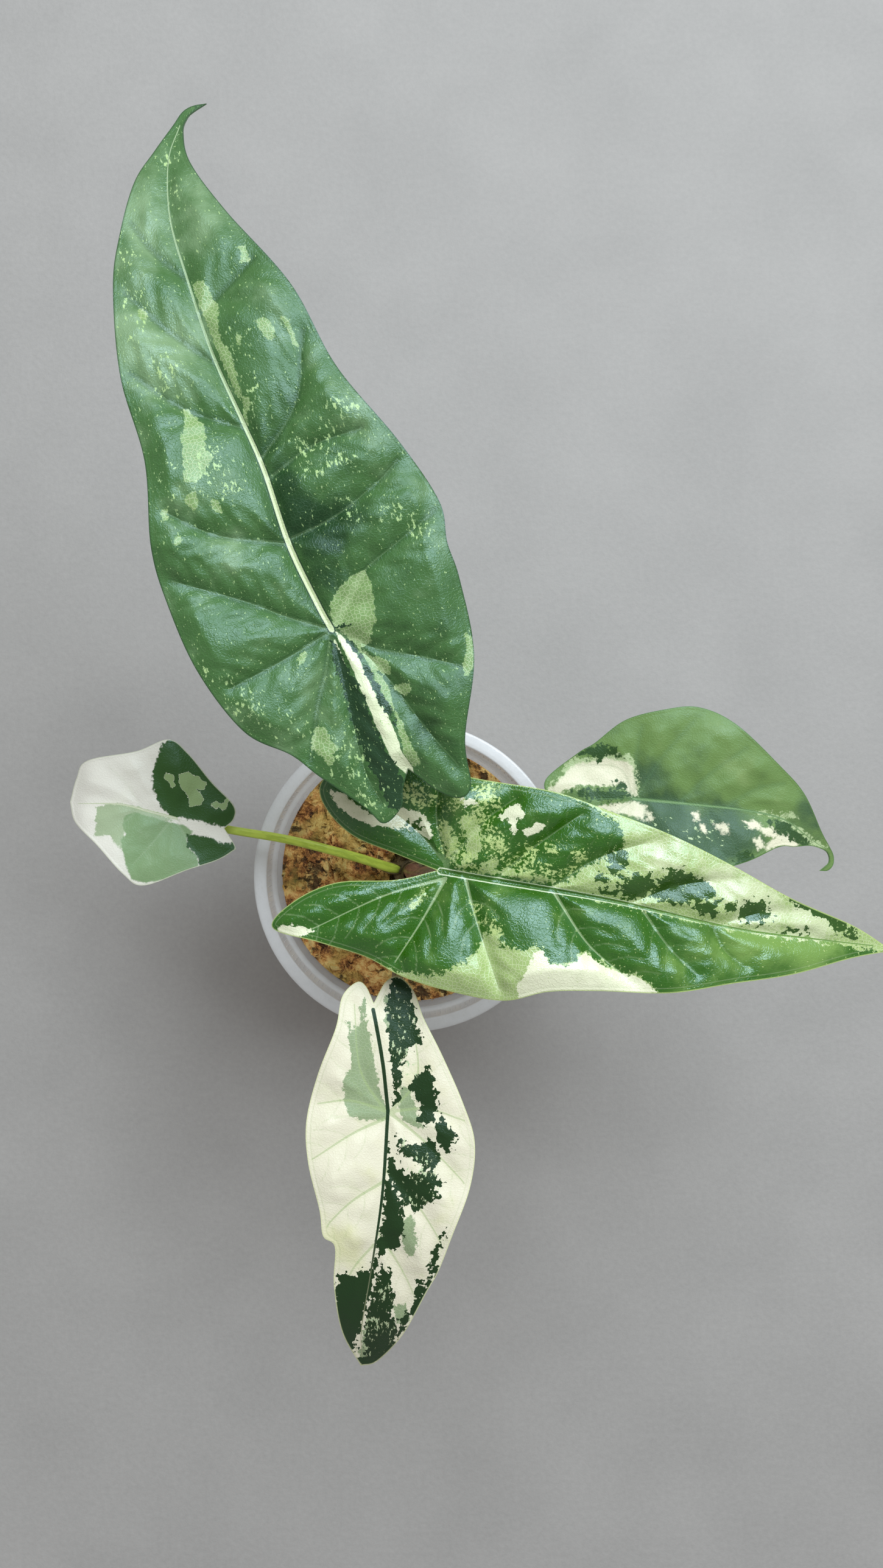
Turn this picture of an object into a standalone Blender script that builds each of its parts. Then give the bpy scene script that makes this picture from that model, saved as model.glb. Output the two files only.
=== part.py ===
"""A potted alocasia: five leaves on long stalks, grown from a short stem in a clear cup of moss and bark.

Sizes in this file are millimetres, and MM turns them into metres. The cup stands on z = 0 with its axis on
the origin. +X is to the right and +Y to the back, as the plant is seen from above its front edge.
"""

import math
import random
from dataclasses import dataclass

import bmesh
import bpy
import numpy as np
from mathutils import Vector
from mathutils.bvhtree import BVHTree
from mathutils.geometry import delaunay_2d_cdt

MM = 0.001
GAP = 0.3
CURVE_STEPS = 16
PROFILE_STEP = 0.5
SMOOTH_ANGLE = 40.0
TINY = 1e-9

# The cup
CUP_HEIGHT = 105.0
CUP_RIM_RADIUS = 60.0
CUP_MOUTH_RADIUS = 55.0
CUP_STEP_RADIUS = 52.6
CUP_STEP_HEIGHT = 93.5
CUP_BASE_RADIUS = 43.0
CUP_WALL = 1.1
CUP_SKIRT = 4.0
CUP_FOOT_WIDTH = 8.0
CUP_FLOOR_RISE = 1.6
CUP_PAD_RADIUS = 12.0
CUP_FLOOR_SLOPE = 2.0
CUP_FOOT_ROUND = (1.0, 1.2)
CUP_STEP_RISE = 1.8
CUP_STEP_RISE_INSIDE = 2.0
CUP_MOUTH_FLARE = 0.3
CUP_MOUTH_FLARE_INSIDE = 0.4
CUP_RIM_FILLET = (0.5, 0.4)
CUP_LIP_ROUND = 0.8
CUP_SIDES = 64
CUP_COLOUR = (0.62, 0.62, 0.64)
DRAIN_COUNT = 8
DRAIN_CIRCLE = 22.0
DRAIN_RADIUS = 3.2
DRAIN_SIDES = 12
DRAIN_CUT = 20.0

# The planting mix
MIX_TOP = 88.0
MIX_EDGE_DROP = 2.5
MIX_LUMPS = 90
MIX_LUMP_RADIUS = (4.0, 9.0)
MIX_LUMP_HEIGHT = (1.2, 3.6)
MIX_LUMP_SLIMNESS = (0.5, 1.0)
MIX_EDGE_CALM = 5.0
MIX_WALL_HEIGHTS = (60.0, 30.0)
MIX_SIDES = CUP_SIDES
MIX_RINGS = 15
MIX_SEED = 5
MIX_COLOUR = (0.30, 0.17, 0.07)

# The stem. Its foot is told by shares of its radius and heights over its bottom, its crown by shares of its
# radius and depths below its top.
STEM_CENTRE = (1.2, 0.9)
STEM_RADIUS = 10.8
STEM_BOTTOM = 55.0
STEM_TOP = 91.5
STEM_FOOT = ((0.6, 0.0), (0.9, 12.0))
STEM_CROWN = ((1.0, 12.0), (1.0, 4.0), (0.94, 1.5), (0.8, 0.0))
STEM_SIDES = 28
STEM_COLOUR = (0.20, 0.14, 0.07)
SOCKET_POINTS = 3

# The blades
EYE = (12.5, 35.8, 525.0)
BLADE_NET = 6.2
BLADE_THICKNESS = 0.8
FOLD_SOFTNESS = 5.0
QUILT_HEIGHT = 1.3
QUILT_REACH = 6.5
MIDRIB_DEPTH = 1.5
MIDRIB_REACH = 2.4
SIDE_RIB_DEPTH = 0.45
SIDE_RIB_REACH = 1.6
KNUCKLE_DEPTH = 1.4
KNUCKLE_REACH = 7.0
RIB_FADE = 12.0
RIB_LEAST = 0.15
NORMAL_STEP = 0.5
NET_CLEAR = 0.55
NET_END_CLEAR = 0.4
NET_TOLERANCE = 1e-4

# The stalks
STALK_SIDES = 12
STALK_STEP = 7.0
STALK_TAPER = 1.6
STALK_PROBE = 20.0
STALK_STEEPEST = 0.3
RING_SIDE = (0.0, 1.0, 0.3)


@dataclass
class Leaf:
    """One leaf, laid out in its own plan: millimetres along from the stalk, and across to the left.

    The plan is drawn at the height of the stalk's end, as it is seen from EYE. A point that rises or
    droops slides along its own line of sight, so the outline keeps its look from there. Sharp corners
    of the margin are where one run of the margin ends and the next begins.
    """

    place: str
    attach: tuple
    heading: float
    margin: list
    midrib: list
    seam: list
    veins: list
    rise: list
    fold: float
    roll: float
    half_width: float
    waves: tuple
    lean: float
    colour: tuple
    stalk: list
    stalk_radii: tuple
    stalk_colour: tuple
    stalk_meets: tuple = (0.0, 0.0)


BACK_LEAF = Leaf(
    place="back",
    attach=(-18.7, 79.6, 215.0),
    heading=106.0,
    margin=[
        [(154, -7), (152.8, -3), (151.5, -0.6), (148, 1.6), (139, 2), (123, -4), (98, -16), (72, -22),
         (47, -33), (27, -39.5), (15, -38.5), (4, -39), (-18, -37), (-40, -28), (-53, -26), (-56, -22),
         (-52, -16), (-44, -10)],
        [(-44, -10), (-49, -7), (-54, -5), (-57, 1), (-51, 5), (-39, 15), (-31, 21), (-21, 32), (-1, 40),
         (20, 43), (37, 43), (61, 38), (86, 38), (111, 33), (125, 27), (138, 19), (145, 11), (150.5, 4),
         (153.5, 0.3), (154.4, -3), (154, -7)],
    ],
    midrib=[(0, 0), (9, 2), (27, 5), (49, 6), (64, 8), (85, 11), (107, 12), (125, 12), (141, 8), (150, 2)],
    seam=[(0, 0), (-19, -4), (-34, -7), (-42, -10)],
    veins=[
        [(0, 0), (7, 11), (15, 22), (26, 40)],
        [(27, 5), (35, 24), (45, 36)],
        [(62, 8), (72, 23), (86, 35)],
        [(82, 11), (94, 21), (108, 30)],
        [(107, 12), (117, 19), (127, 23)],
        [(1, -1), (8, -8), (14, -14), (19, -25), (23, -34)],
        [(28, 5), (31, -10), (37, -24)],
        [(46, 6), (52, -9), (53, -24)],
        [(52, 6), (65, -8), (80, -14)],
        [(96, 12), (103, 0), (108, -8)],
        [(0, 0), (-8, -10), (-14, -22), (-20, -33)],
        [(-2, -2), (-14, -10), (-34, -18), (-47, -24)],
        [(-3, 0), (-20, 1), (-40, 2), (-51, 0)],
        [(-2, 1), (-11, 5), (-20, 10), (-34, 16)],
        [(0, 0), (-4, 14), (-8, 32)],
    ],
    rise=[(-57, -9), (-30, -3), (0, 0), (50, 4), (100, 1), (135, -8), (154, -18)],
    fold=11.0,
    roll=4.0,
    half_width=42.0,
    waves=(1.8, 46.0, 0.7),
    lean=0.02,
    colour=(0.075, 0.145, 0.065),
    stalk=[(-0.8, 7.8, 86.3), (-0.8, 9.6, 98), (-0.4, 22, 124), (0.0, 41, 153), (-6, 60, 182),
           (-14, 73.5, 203)],
    stalk_radii=(2.7, 1.8),
    stalk_colour=(0.24, 0.17, 0.08),
)

RIGHT_LEAF = Leaf(
    place="right",
    attach=(11.2, 9.2, 190.0),
    heading=-9.8,
    margin=[
        [(142, -0.5), (129, 5), (109, 10), (89, 17), (69, 23), (49, 27), (31, 30), (6, 30), (-12, 32),
         (-26, 31), (-36, 26), (-40, 19), (-36, 12), (-27, 6), (-14, 3), (0, 0)],
        [(0, 0), (-12, -5), (-30, -9), (-42, -17), (-47, -26), (-32, -28), (-17, -30), (-5, -34), (10, -36),
         (27, -36), (40, -31), (56, -28), (77, -25), (95, -19), (113, -13), (130, -5), (142, -0.5)],
    ],
    midrib=[(1, 0), (16, 0), (54, 0), (92, -2), (118, -1), (136, 0)],
    seam=[(1, 0), (0.5, 0)],
    veins=[
        [(2, 2), (7, 10), (13, 19), (20, 26)],
        [(18, 0), (27, 11), (38, 22)],
        [(35, 0), (44, 9), (53, 15), (66, 21)],
        [(60, 0), (74, 8), (90, 13)],
        [(88, -2), (100, 4), (112, 7)],
        [(9, -1), (13, -10), (18, -20), (25, -33)],
        [(36, 0), (49, -14), (62, -22)],
        [(64, -1), (74, -11), (84, -18)],
        [(86, -2), (91, -9), (98, -13)],
        [(3, 2), (-10, 12), (-28, 21)],
        [(3, 1), (-3, 16), (-4, 29)],
        [(3, -2), (-14, -10), (-33, -23)],
        [(3, -2), (-2, -16), (-8, -30)],
    ],
    rise=[(-47, -7), (-20, -2), (0, 0), (40, 5), (80, 4), (112, -3), (139, -14)],
    fold=15.0,
    roll=5.0,
    half_width=34.0,
    waves=(1.5, 40.0, 2.1),
    lean=-0.02,
    colour=(0.13, 0.21, 0.075),
    stalk=[(0.9, 0.8, 86.3), (1.1, 1.0, 102), (3.6, 3.0, 135), (7.6, 6.2, 163), (12.2, 8.2, 180)],
    stalk_radii=(3.9, 2.1),
    stalk_colour=(0.17, 0.09, 0.055),
    stalk_meets=(4.0, 0.0),
)

FRONT_LEAF = Leaf(
    place="front",
    attach=(-4.2, -66.3, 185.0),
    heading=-96.1,
    margin=[
        [(80, 0), (78, 5), (69, 12), (55, 18), (48, 21), (37, 24), (21, 28), (7, 28), (-5, 23), (-19, 15),
         (-30, 8), (-38, 4), (-42, -1), (-40, -5), (-33, -8)],
        [(-33, -8), (-38, -11), (-39, -14), (-34, -18), (-24, -19), (-9, -23), (6, -25), (19, -23),
         (33, -18), (41, -16), (44, -12), (56, -11), (70, -7), (80, 0)],
    ],
    midrib=[(0, 0), (26, 1), (51, 0), (68, -1), (77, 0)],
    seam=[(0, 0), (-14, -3), (-31, -8)],
    veins=[
        [(0, 0), (8, 12), (18, 24)],
        [(18, 1), (28, 12), (38, 20)],
        [(38, 1), (48, 9), (56, 14)],
        [(2, 0), (8, -10), (16, -20)],
        [(22, 1), (29, -8), (36, -14)],
        [(42, 0), (49, -5), (56, -8)],
        [(0, 1), (-12, 8), (-30, 4)],
        [(0, 1), (-2, 12), (0, 22)],
        [(0, -1), (-12, -10), (-32, -14)],
        [(0, -1), (-2, -12), (0, -22)],
    ],
    rise=[(-42, -5), (-20, -1), (0, 0), (30, 2), (55, -3), (70, -11), (80, -21)],
    fold=9.0,
    roll=3.0,
    half_width=27.0,
    waves=(1.3, 34.0, 0.2),
    lean=0.03,
    colour=(0.56, 0.58, 0.43),
    stalk=[(0.6, -6.4, 86.3), (0.3, -8.6, 99), (-2.0, -21, 130), (-3.3, -41, 158), (-3.9, -58, 175)],
    stalk_radii=(2.7, 1.8),
    stalk_colour=(0.30, 0.25, 0.12),
)

LEFT_LEAF = Leaf(
    place="left",
    attach=(-84.3, 23.3, 128.0),
    heading=171.4,
    margin=[
        [(39, 0), (38, -9), (35, -16), (18, -22), (7, -28), (-1, -24), (-11, -15), (-20, -8), (-21, -3),
         (-18, 1)],
        [(-18, 1), (-23, 7), (-22, 9), (-17, 13), (-7, 18), (8, 26), (16, 23), (27, 14), (36, 7), (39, 0)],
    ],
    midrib=[(0, 0), (10, -1), (21, -2), (36, 0)],
    seam=[(0, 0), (-9, 1), (-16, 1)],
    veins=[
        [(1, 0), (7, -11), (12, -20)],
        [(12, -1), (20, -10), (27, -15)],
        [(1, 0), (7, 10), (13, 19)],
        [(14, -1), (20, 6), (26, 11)],
        [(0, 0), (-4, -8), (-7, -15)],
        [(0, 0), (-6, 8), (-11, 12)],
    ],
    rise=[(-23, -2), (0, 0), (20, 1), (32, -3), (39, -11)],
    fold=10.0,
    roll=3.0,
    half_width=25.0,
    waves=(1.0, 26.0, 1.2),
    lean=0.04,
    colour=(0.33, 0.42, 0.27),
    stalk=[(-5.6, 1.9, 86.6), (-7.2, 2.6, 95), (-22.5, 8.5, 108.5), (-44.4, 14.9, 118), (-66.3, 18.9, 121.5),
           (-79.0, 22.0, 122.2)],
    stalk_radii=(2.0, 1.5),
    stalk_colour=(0.36, 0.42, 0.08),
)

UNDER_LEAF = Leaf(
    place="under",
    attach=(77.6, 30.8, 155.0),
    heading=-20.7,
    margin=[
        [(68, -0.5), (70.5, 0.5), (71.5, 3), (70.5, 6), (68, 8.5), (64, 12), (54, 22), (43, 28), (24, 36),
         (10, 37), (-1, 32), (-12, 24), (-19, 13), (-23, 8), (-30, -4), (-27, -9), (-19, -9)],
        [(-19, -9), (-25, -13), (-25, -19), (-19, -23), (-6, -25), (9, -24), (27, -18), (43, -7), (52, 2),
         (57, 4), (62, 6.3), (67, 6.6), (69, 5.5), (69.9, 3.2), (69, 1.2), (68, -0.5)],
    ],
    midrib=[(0, 0), (22, 6), (38, 10), (50, 11.5), (58, 9.5), (64, 7.8), (67.5, 7.3)],
    seam=[(0, 0), (-10, -4), (-17, -8)],
    veins=[
        [(1, 0), (4, 16), (10, 32)],
        [(15, 4), (22, 18), (30, 30)],
        [(30, 8), (38, 18), (46, 23)],
        [(4, 1), (8, -10), (14, -19)],
        [(24, 7), (30, -3), (37, -8)],
        [(0, 0), (-8, 8), (-22, 4)],
        [(0, 0), (-4, 14), (-6, 24)],
        [(0, 0), (-6, -10), (-12, -19)],
    ],
    rise=[(-29, -4), (0, 0), (30, 3), (52, 0), (62, -5), (71, -13)],
    fold=10.0,
    roll=4.0,
    half_width=34.0,
    waves=(1.5, 38.0, 0.9),
    lean=0.0,
    colour=(0.16, 0.27, 0.12),
    stalk=[(7.4, 3.6, 86.6), (9.2, 4.6, 96), (24, 10.5, 115), (46, 18.8, 133), (65, 26.0, 145),
           (74, 29.6, 149.5)],
    stalk_radii=(2.4, 1.6),
    stalk_colour=(0.26, 0.22, 0.10),
)

LEAVES = (BACK_LEAF, RIGHT_LEAF, FRONT_LEAF, LEFT_LEAF, UNDER_LEAF)


def clear_scene():
    for obj in list(bpy.data.objects):
        bpy.data.objects.remove(obj, do_unlink=True)


def finish(name, mesh, colour, roughness, transmission=0.0):
    """Puts a mesh in the scene as a named object with its own material, none of them metal."""
    material = bpy.data.materials.new(name)
    material.use_nodes = True
    shader = material.node_tree.nodes["Principled BSDF"]
    shader.inputs["Base Color"].default_value = (*colour, 1.0)
    shader.inputs["Roughness"].default_value = roughness
    shader.inputs["Metallic"].default_value = 0.0
    shader.inputs["Transmission Weight"].default_value = transmission
    mesh.materials.append(material)
    mesh.shade_smooth()
    mesh.set_sharp_from_angle(angle=math.radians(SMOOTH_ANGLE))
    obj = bpy.data.objects.new(name, mesh)
    bpy.context.scene.collection.objects.link(obj)
    return obj


def mesh_of(name, points, faces):
    """A mesh from points in millimetres and faces as lists of point numbers."""
    mesh = bpy.data.meshes.new(name)
    mesh.from_pydata([Vector(p) * MM for p in points], [], [tuple(face) for face in faces])
    mesh.update()
    return mesh


def through(points, spacing):
    """Points at an even spacing along a smooth curve that passes through the given ones."""
    knots = [np.array(p, float) for p in points]
    knots = [2 * knots[0] - knots[1], *knots, 2 * knots[-1] - knots[-2]]
    fine = []
    for before, start, end, after in zip(knots, knots[1:], knots[2:], knots[3:]):
        for t in np.linspace(0.0, 1.0, CURVE_STEPS, endpoint=False):
            slope = 0.5 * (end - before)
            next_slope = 0.5 * (after - start)
            fine.append(
                (2 * t**3 - 3 * t**2 + 1) * start
                + (t**3 - 2 * t**2 + t) * slope
                + (3 * t**2 - 2 * t**3) * end
                + (t**3 - t**2) * next_slope
            )
    fine = np.array([*fine, knots[-2]])
    travelled = np.concatenate([[0.0], np.cumsum(np.linalg.norm(np.diff(fine, axis=0), axis=1))])
    stops = np.linspace(0.0, travelled[-1], max(2, round(travelled[-1] / spacing) + 1))
    return np.stack([np.interp(stops, travelled, column) for column in fine.T], axis=1)


def along_profile(stations, at):
    """A smooth height at each distance along, through the (distance, height) stations."""
    curve = through(stations, PROFILE_STEP)
    return np.interp(at, curve[:, 0], curve[:, 1])


def distance_to(line, points):
    """How far each plan point lies from a line of points."""
    nearest = np.full(len(points), np.inf)
    for start, end in zip(line, line[1:]):
        side = end - start
        share = np.clip((points - start) @ side / max(side @ side, TINY), 0.0, 1.0)
        nearest = np.minimum(nearest, np.linalg.norm(points - start - share[:, None] * side, axis=1))
    return nearest


def margin_line(leaf, spacing):
    """The whole margin as one closed loop, its last point before its first."""
    runs = [through(run, spacing)[:-1] for run in leaf.margin]
    return np.concatenate(runs)


def height_over(leaf, plan):
    """How far the smooth middle of the blade stands over the stalk's end."""
    along, across = plan[:, 0], plan[:, 1]
    ribs = np.array(leaf.midrib, float)
    order = np.argsort(ribs[:, 0])
    from_rib = across - np.interp(along, ribs[order, 0], ribs[order, 1])
    spread = np.sqrt(from_rib**2 + FOLD_SOFTNESS**2) - FOLD_SOFTNESS
    share = spread / leaf.half_width
    size, length, start = leaf.waves
    wave = size * share**2 * np.sin(2 * math.pi * along / length + start + np.sign(from_rib))
    lift = math.tan(math.radians(leaf.fold)) * spread - leaf.roll * share**3
    return along_profile(leaf.rise, along) + lift + wave + leaf.lean * across


def in_space(leaf, plan):
    """The plan points in space, slid along their lines of sight to their heights."""
    turn = math.radians(leaf.heading)
    along, across = plan[:, 0], plan[:, 1]
    x = leaf.attach[0] + along * math.cos(turn) - across * math.sin(turn)
    y = leaf.attach[1] + along * math.sin(turn) + across * math.cos(turn)
    z = leaf.attach[2] + height_over(leaf, plan)
    nearer = (EYE[2] - z) / (EYE[2] - leaf.attach[2])
    return np.stack([EYE[0] + (x - EYE[0]) * nearer, EYE[1] + (y - EYE[1]) * nearer, z], axis=1)


def normals(leaf, plan):
    """Which way the smooth blade faces at each plan point."""
    ahead = in_space(leaf, plan + (NORMAL_STEP, 0.0)) - in_space(leaf, plan - (NORMAL_STEP, 0.0))
    left = in_space(leaf, plan + (0.0, NORMAL_STEP)) - in_space(leaf, plan - (0.0, NORMAL_STEP))
    facing = np.cross(ahead, left)
    return facing / np.linalg.norm(facing, axis=1)[:, None]


def blade_faces(leaf, plan, spacing):
    """The upper and lower face of the blade: quilted between the side veins, with ribs below."""
    to_margin = distance_to(np.vstack([margin_line(leaf, spacing), leaf.margin[0][:1]]), plan)
    to_midrib = distance_to(through(leaf.midrib, spacing), plan)
    to_seam = distance_to(through(leaf.seam, spacing), plan)
    to_vein = np.min([distance_to(through(vein, spacing), plan) for vein in leaf.veins], axis=0)
    inside = np.clip(to_margin / QUILT_REACH, 0.0, 1.0)
    quilt = QUILT_HEIGHT * inside * (1.0 - np.exp(-((np.minimum(to_vein, to_midrib) / QUILT_REACH) ** 2)))
    fade = np.clip(to_margin / RIB_FADE, RIB_LEAST, 1.0)
    midrib = MIDRIB_DEPTH * fade * np.exp(-((np.minimum(to_midrib, to_seam) / MIDRIB_REACH) ** 2))
    side_rib = SIDE_RIB_DEPTH * fade * np.exp(-((to_vein / SIDE_RIB_REACH) ** 2))
    from_stalk = np.linalg.norm(plan - leaf.stalk_meets, axis=1)
    knuckle = KNUCKLE_DEPTH * fade * np.exp(-((from_stalk / KNUCKLE_REACH) ** 2))
    facing = normals(leaf, plan)
    middle = in_space(leaf, plan)
    upper = middle + facing * quilt[:, None]
    lower = upper - facing * (BLADE_THICKNESS + midrib + side_rib + knuckle)[:, None]
    return upper, lower


def flat_net(leaf, spacing):
    """Plan points and triangles that fill the margin, with the ribs as edges of the net."""
    margin = margin_line(leaf, spacing)
    lines = [through(line, spacing) for line in (leaf.midrib, leaf.seam, *leaf.veins)]
    keep_clear = NET_CLEAR * spacing
    low, high = margin.min(axis=0), margin.max(axis=0)
    row_step = spacing * math.sqrt(3) / 2
    rows = []
    for number, across in enumerate(np.arange(low[1], high[1], row_step)):
        along = np.arange(low[0] + (number % 2) * spacing / 2, high[0], spacing)
        rows.append(np.stack([along, np.full(len(along), across)], axis=1))
    middle = np.concatenate(rows)
    for line in (np.vstack([margin, margin[:1]]), *lines):
        middle = middle[distance_to(line, middle) > keep_clear]
    points = [*margin]
    edges = []
    closed = np.vstack([margin, margin[:1]])
    for line in lines:
        line = line[distance_to(closed, line) > NET_END_CLEAR * spacing]
        places = []
        for point in line:
            near = [i for i in range(len(margin), len(points)) if math.dist(points[i], point) < keep_clear]
            places.append(near[0] if near else len(points))
            if not near:
                points.append(point)
        edges += [pair for pair in zip(places, places[1:]) if pair[0] != pair[1]]
    points += [*middle]
    inside_only = 1
    outline = [list(range(len(margin)))]
    found = delaunay_2d_cdt([Vector(p) for p in points], edges, outline, inside_only, NET_TOLERANCE)
    return np.array([tuple(p) for p in found[0]]), [tuple(face) for face in found[2]]


def closed_sheet(name, upper, lower, triangles):
    """A thin closed body: the same triangles above and below, and a rim round them."""
    count = len(upper)
    used = {}
    for a, b, c in triangles:
        for edge in ((a, b), (b, c), (c, a)):
            used[edge] = used.get(edge, 0) + 1
    rim = [edge for edge in used if (edge[1], edge[0]) not in used]
    faces = [*triangles, *((c + count, b + count, a + count) for a, b, c in triangles)]
    for a, b in rim:
        faces += [(b, a, a + count), (b, a + count, b + count)]
    return mesh_of(name, [*upper, *lower], faces)


def add_blade(leaf):
    plan, triangles = flat_net(leaf, BLADE_NET)
    upper, lower = blade_faces(leaf, plan, BLADE_NET)
    mesh = closed_sheet(f"leaf_{leaf.place}", upper, lower, triangles)
    return finish(f"leaf_{leaf.place}", mesh, leaf.colour, roughness=0.42)


def rings_along(path, radii, sides):
    """Rings of points square to a path, each with its own radius, without twist from one to the next."""
    ahead = np.gradient(path, axis=0)
    ahead /= np.linalg.norm(ahead, axis=1)[:, None]
    side = np.cross(ahead[0], RING_SIDE)
    rings = []
    for centre, direction, radius in zip(path, ahead, radii):
        side = side - direction * (side @ direction)
        side /= np.linalg.norm(side)
        up = np.cross(direction, side)
        turns = [2 * math.pi * i / sides for i in range(sides)]
        rings.append([centre + radius * (math.cos(t) * side + math.sin(t) * up) for t in turns])
    return rings


def tube_faces(ring_count, sides):
    """Faces of a tube of rings, closed by a fan at each end to two last points."""
    faces = []
    for ring in range(ring_count - 1):
        near, far = ring * sides, (ring + 1) * sides
        for i in range(sides):
            j = (i + 1) % sides
            faces.append((near + i, near + j, far + j, far + i))
    first_centre, last_centre = ring_count * sides, ring_count * sides + 1
    last = (ring_count - 1) * sides
    for i in range(sides):
        j = (i + 1) % sides
        faces.append((first_centre, j, i))
        faces.append((last_centre, last + i, last + j))
    return faces


def stalk_path(leaf):
    """The stalk's middle line, from its foot in the stem up into the blade."""
    meets = in_space(leaf, np.array([leaf.stalk_meets]))[0]
    return through([*leaf.stalk, tuple(meets)], STALK_STEP)


def add_stalk(leaf, blade):
    """A tapering stalk whose upper end is cut to the underside of its blade."""
    path = stalk_path(leaf)
    share = np.linspace(0.0, 1.0, len(path))
    foot, top = leaf.stalk_radii
    radii = top + (foot - top) * (1.0 - share) ** STALK_TAPER
    rings = rings_along(path, radii, STALK_SIDES)
    net = bmesh.new()
    net.from_mesh(blade.data)
    tree = BVHTree.FromBMesh(net)
    net.free()
    towards = Vector(path[-1] - path[-2]).normalized()

    def under_blade(point):
        start = (Vector(point) - towards * STALK_PROBE) * MM
        hit, facing, _, _ = tree.ray_cast(start, towards)
        return (hit - towards * (GAP * MM / max(STALK_STEEPEST, abs(facing.dot(towards))))) / MM

    rings[-1] = [under_blade(point) for point in rings[-1]]
    points = [point for ring in rings for point in ring]
    points += [path[0], under_blade(path[-1])]
    mesh = mesh_of(f"stalk_{leaf.place}", points, tube_faces(len(rings), STALK_SIDES))
    return finish(f"stalk_{leaf.place}", mesh, leaf.stalk_colour, roughness=0.5)


def turned(name, profile, sides, centre=(0.0, 0.0)):
    """A body turned round a vertical axis: its profile of (radius, height) begins and ends on the axis."""
    points = [(centre[0], centre[1], profile[0][1])]
    for radius, height in profile[1:-1]:
        for i in range(sides):
            turn = 2 * math.pi * i / sides
            points.append((centre[0] + radius * math.cos(turn), centre[1] + radius * math.sin(turn), height))
    points.append((centre[0], centre[1], profile[-1][1]))
    faces = []
    rings = len(profile) - 2
    for i in range(sides):
        j = (i + 1) % sides
        faces.append((0, 1 + j, 1 + i))
        for ring in range(rings - 1):
            low, high = 1 + ring * sides, 1 + (ring + 1) * sides
            faces.append((low + i, low + j, high + j, high + i))
        last = 1 + (rings - 1) * sides
        faces.append((last + i, last + j, len(points) - 1))
    return mesh_of(name, points, faces)


def cut(obj, cutter):
    """Takes the cutter's shape out of the object, and hides the cutter."""
    cutter.hide_render = True
    cutter.display_type = "WIRE"
    boolean = obj.modifiers.new("cut", "BOOLEAN")
    boolean.operation = "DIFFERENCE"
    boolean.object = cutter


def cup_inner_radius(height):
    """The inside of the tapering wall below the stacking step."""
    floor = CUP_FLOOR_RISE + CUP_WALL
    share = (height - floor) / (CUP_STEP_HEIGHT - floor)
    return CUP_BASE_RADIUS - CUP_WALL + share * (CUP_STEP_RADIUS - CUP_BASE_RADIUS + CUP_WALL)


def add_cup():
    """The cup: centre pad, raised floor, foot ring, tapering wall, stacking step and skirted rim."""
    foot_inner = CUP_BASE_RADIUS - CUP_FOOT_WIDTH
    step_outer = CUP_STEP_RADIUS + CUP_WALL
    mouth_outer = CUP_MOUTH_RADIUS + CUP_WALL
    floor = CUP_FLOOR_RISE + CUP_WALL
    profile = [
        (0.0, 0.0),
        (CUP_PAD_RADIUS, 0.0),
        (CUP_PAD_RADIUS + CUP_FLOOR_SLOPE, CUP_FLOOR_RISE),
        (foot_inner - CUP_FLOOR_SLOPE, CUP_FLOOR_RISE),
        (foot_inner, 0.0),
        (CUP_BASE_RADIUS - CUP_FOOT_ROUND[0], 0.0),
        (CUP_BASE_RADIUS, CUP_FOOT_ROUND[1]),
        (step_outer, CUP_STEP_HEIGHT),
        (mouth_outer - CUP_MOUTH_FLARE, CUP_STEP_HEIGHT + CUP_STEP_RISE),
        (mouth_outer, CUP_HEIGHT - CUP_WALL - CUP_RIM_FILLET[1]),
        (mouth_outer + CUP_RIM_FILLET[0], CUP_HEIGHT - CUP_WALL),
        (CUP_RIM_RADIUS - CUP_WALL, CUP_HEIGHT - CUP_WALL),
        (CUP_RIM_RADIUS - CUP_WALL, CUP_HEIGHT - CUP_SKIRT),
        (CUP_RIM_RADIUS, CUP_HEIGHT - CUP_SKIRT),
        (CUP_RIM_RADIUS, CUP_HEIGHT - CUP_LIP_ROUND),
        (CUP_RIM_RADIUS - CUP_LIP_ROUND, CUP_HEIGHT),
        (CUP_MOUTH_RADIUS + CUP_LIP_ROUND, CUP_HEIGHT),
        (CUP_MOUTH_RADIUS, CUP_HEIGHT - CUP_LIP_ROUND),
        (CUP_MOUTH_RADIUS - CUP_MOUTH_FLARE_INSIDE, CUP_STEP_HEIGHT + CUP_STEP_RISE_INSIDE),
        (CUP_STEP_RADIUS, CUP_STEP_HEIGHT),
        (cup_inner_radius(floor), floor),
        (0.0, floor),
    ]
    mesh = turned("cup", profile, CUP_SIDES)
    cup = finish("cup", mesh, CUP_COLOUR, roughness=0.22, transmission=0.6)
    drains = bmesh.new()
    for number in range(DRAIN_COUNT):
        turn = 2 * math.pi * (number + 0.5) / DRAIN_COUNT
        hole = bmesh.ops.create_cone(
            drains,
            cap_ends=True,
            segments=DRAIN_SIDES,
            radius1=DRAIN_RADIUS * MM,
            radius2=DRAIN_RADIUS * MM,
            depth=DRAIN_CUT * MM,
        )
        across = Vector((DRAIN_CIRCLE * math.cos(turn), DRAIN_CIRCLE * math.sin(turn), 0.0)) * MM
        bmesh.ops.translate(drains, verts=hole["verts"], vec=across)
    mesh = bpy.data.meshes.new("drain_cutters")
    drains.to_mesh(mesh)
    drains.free()
    cutters = bpy.data.objects.new("drain_cutters", mesh)
    bpy.context.scene.collection.objects.link(cutters)
    cut(cup, cutters)
    return cup


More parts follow.
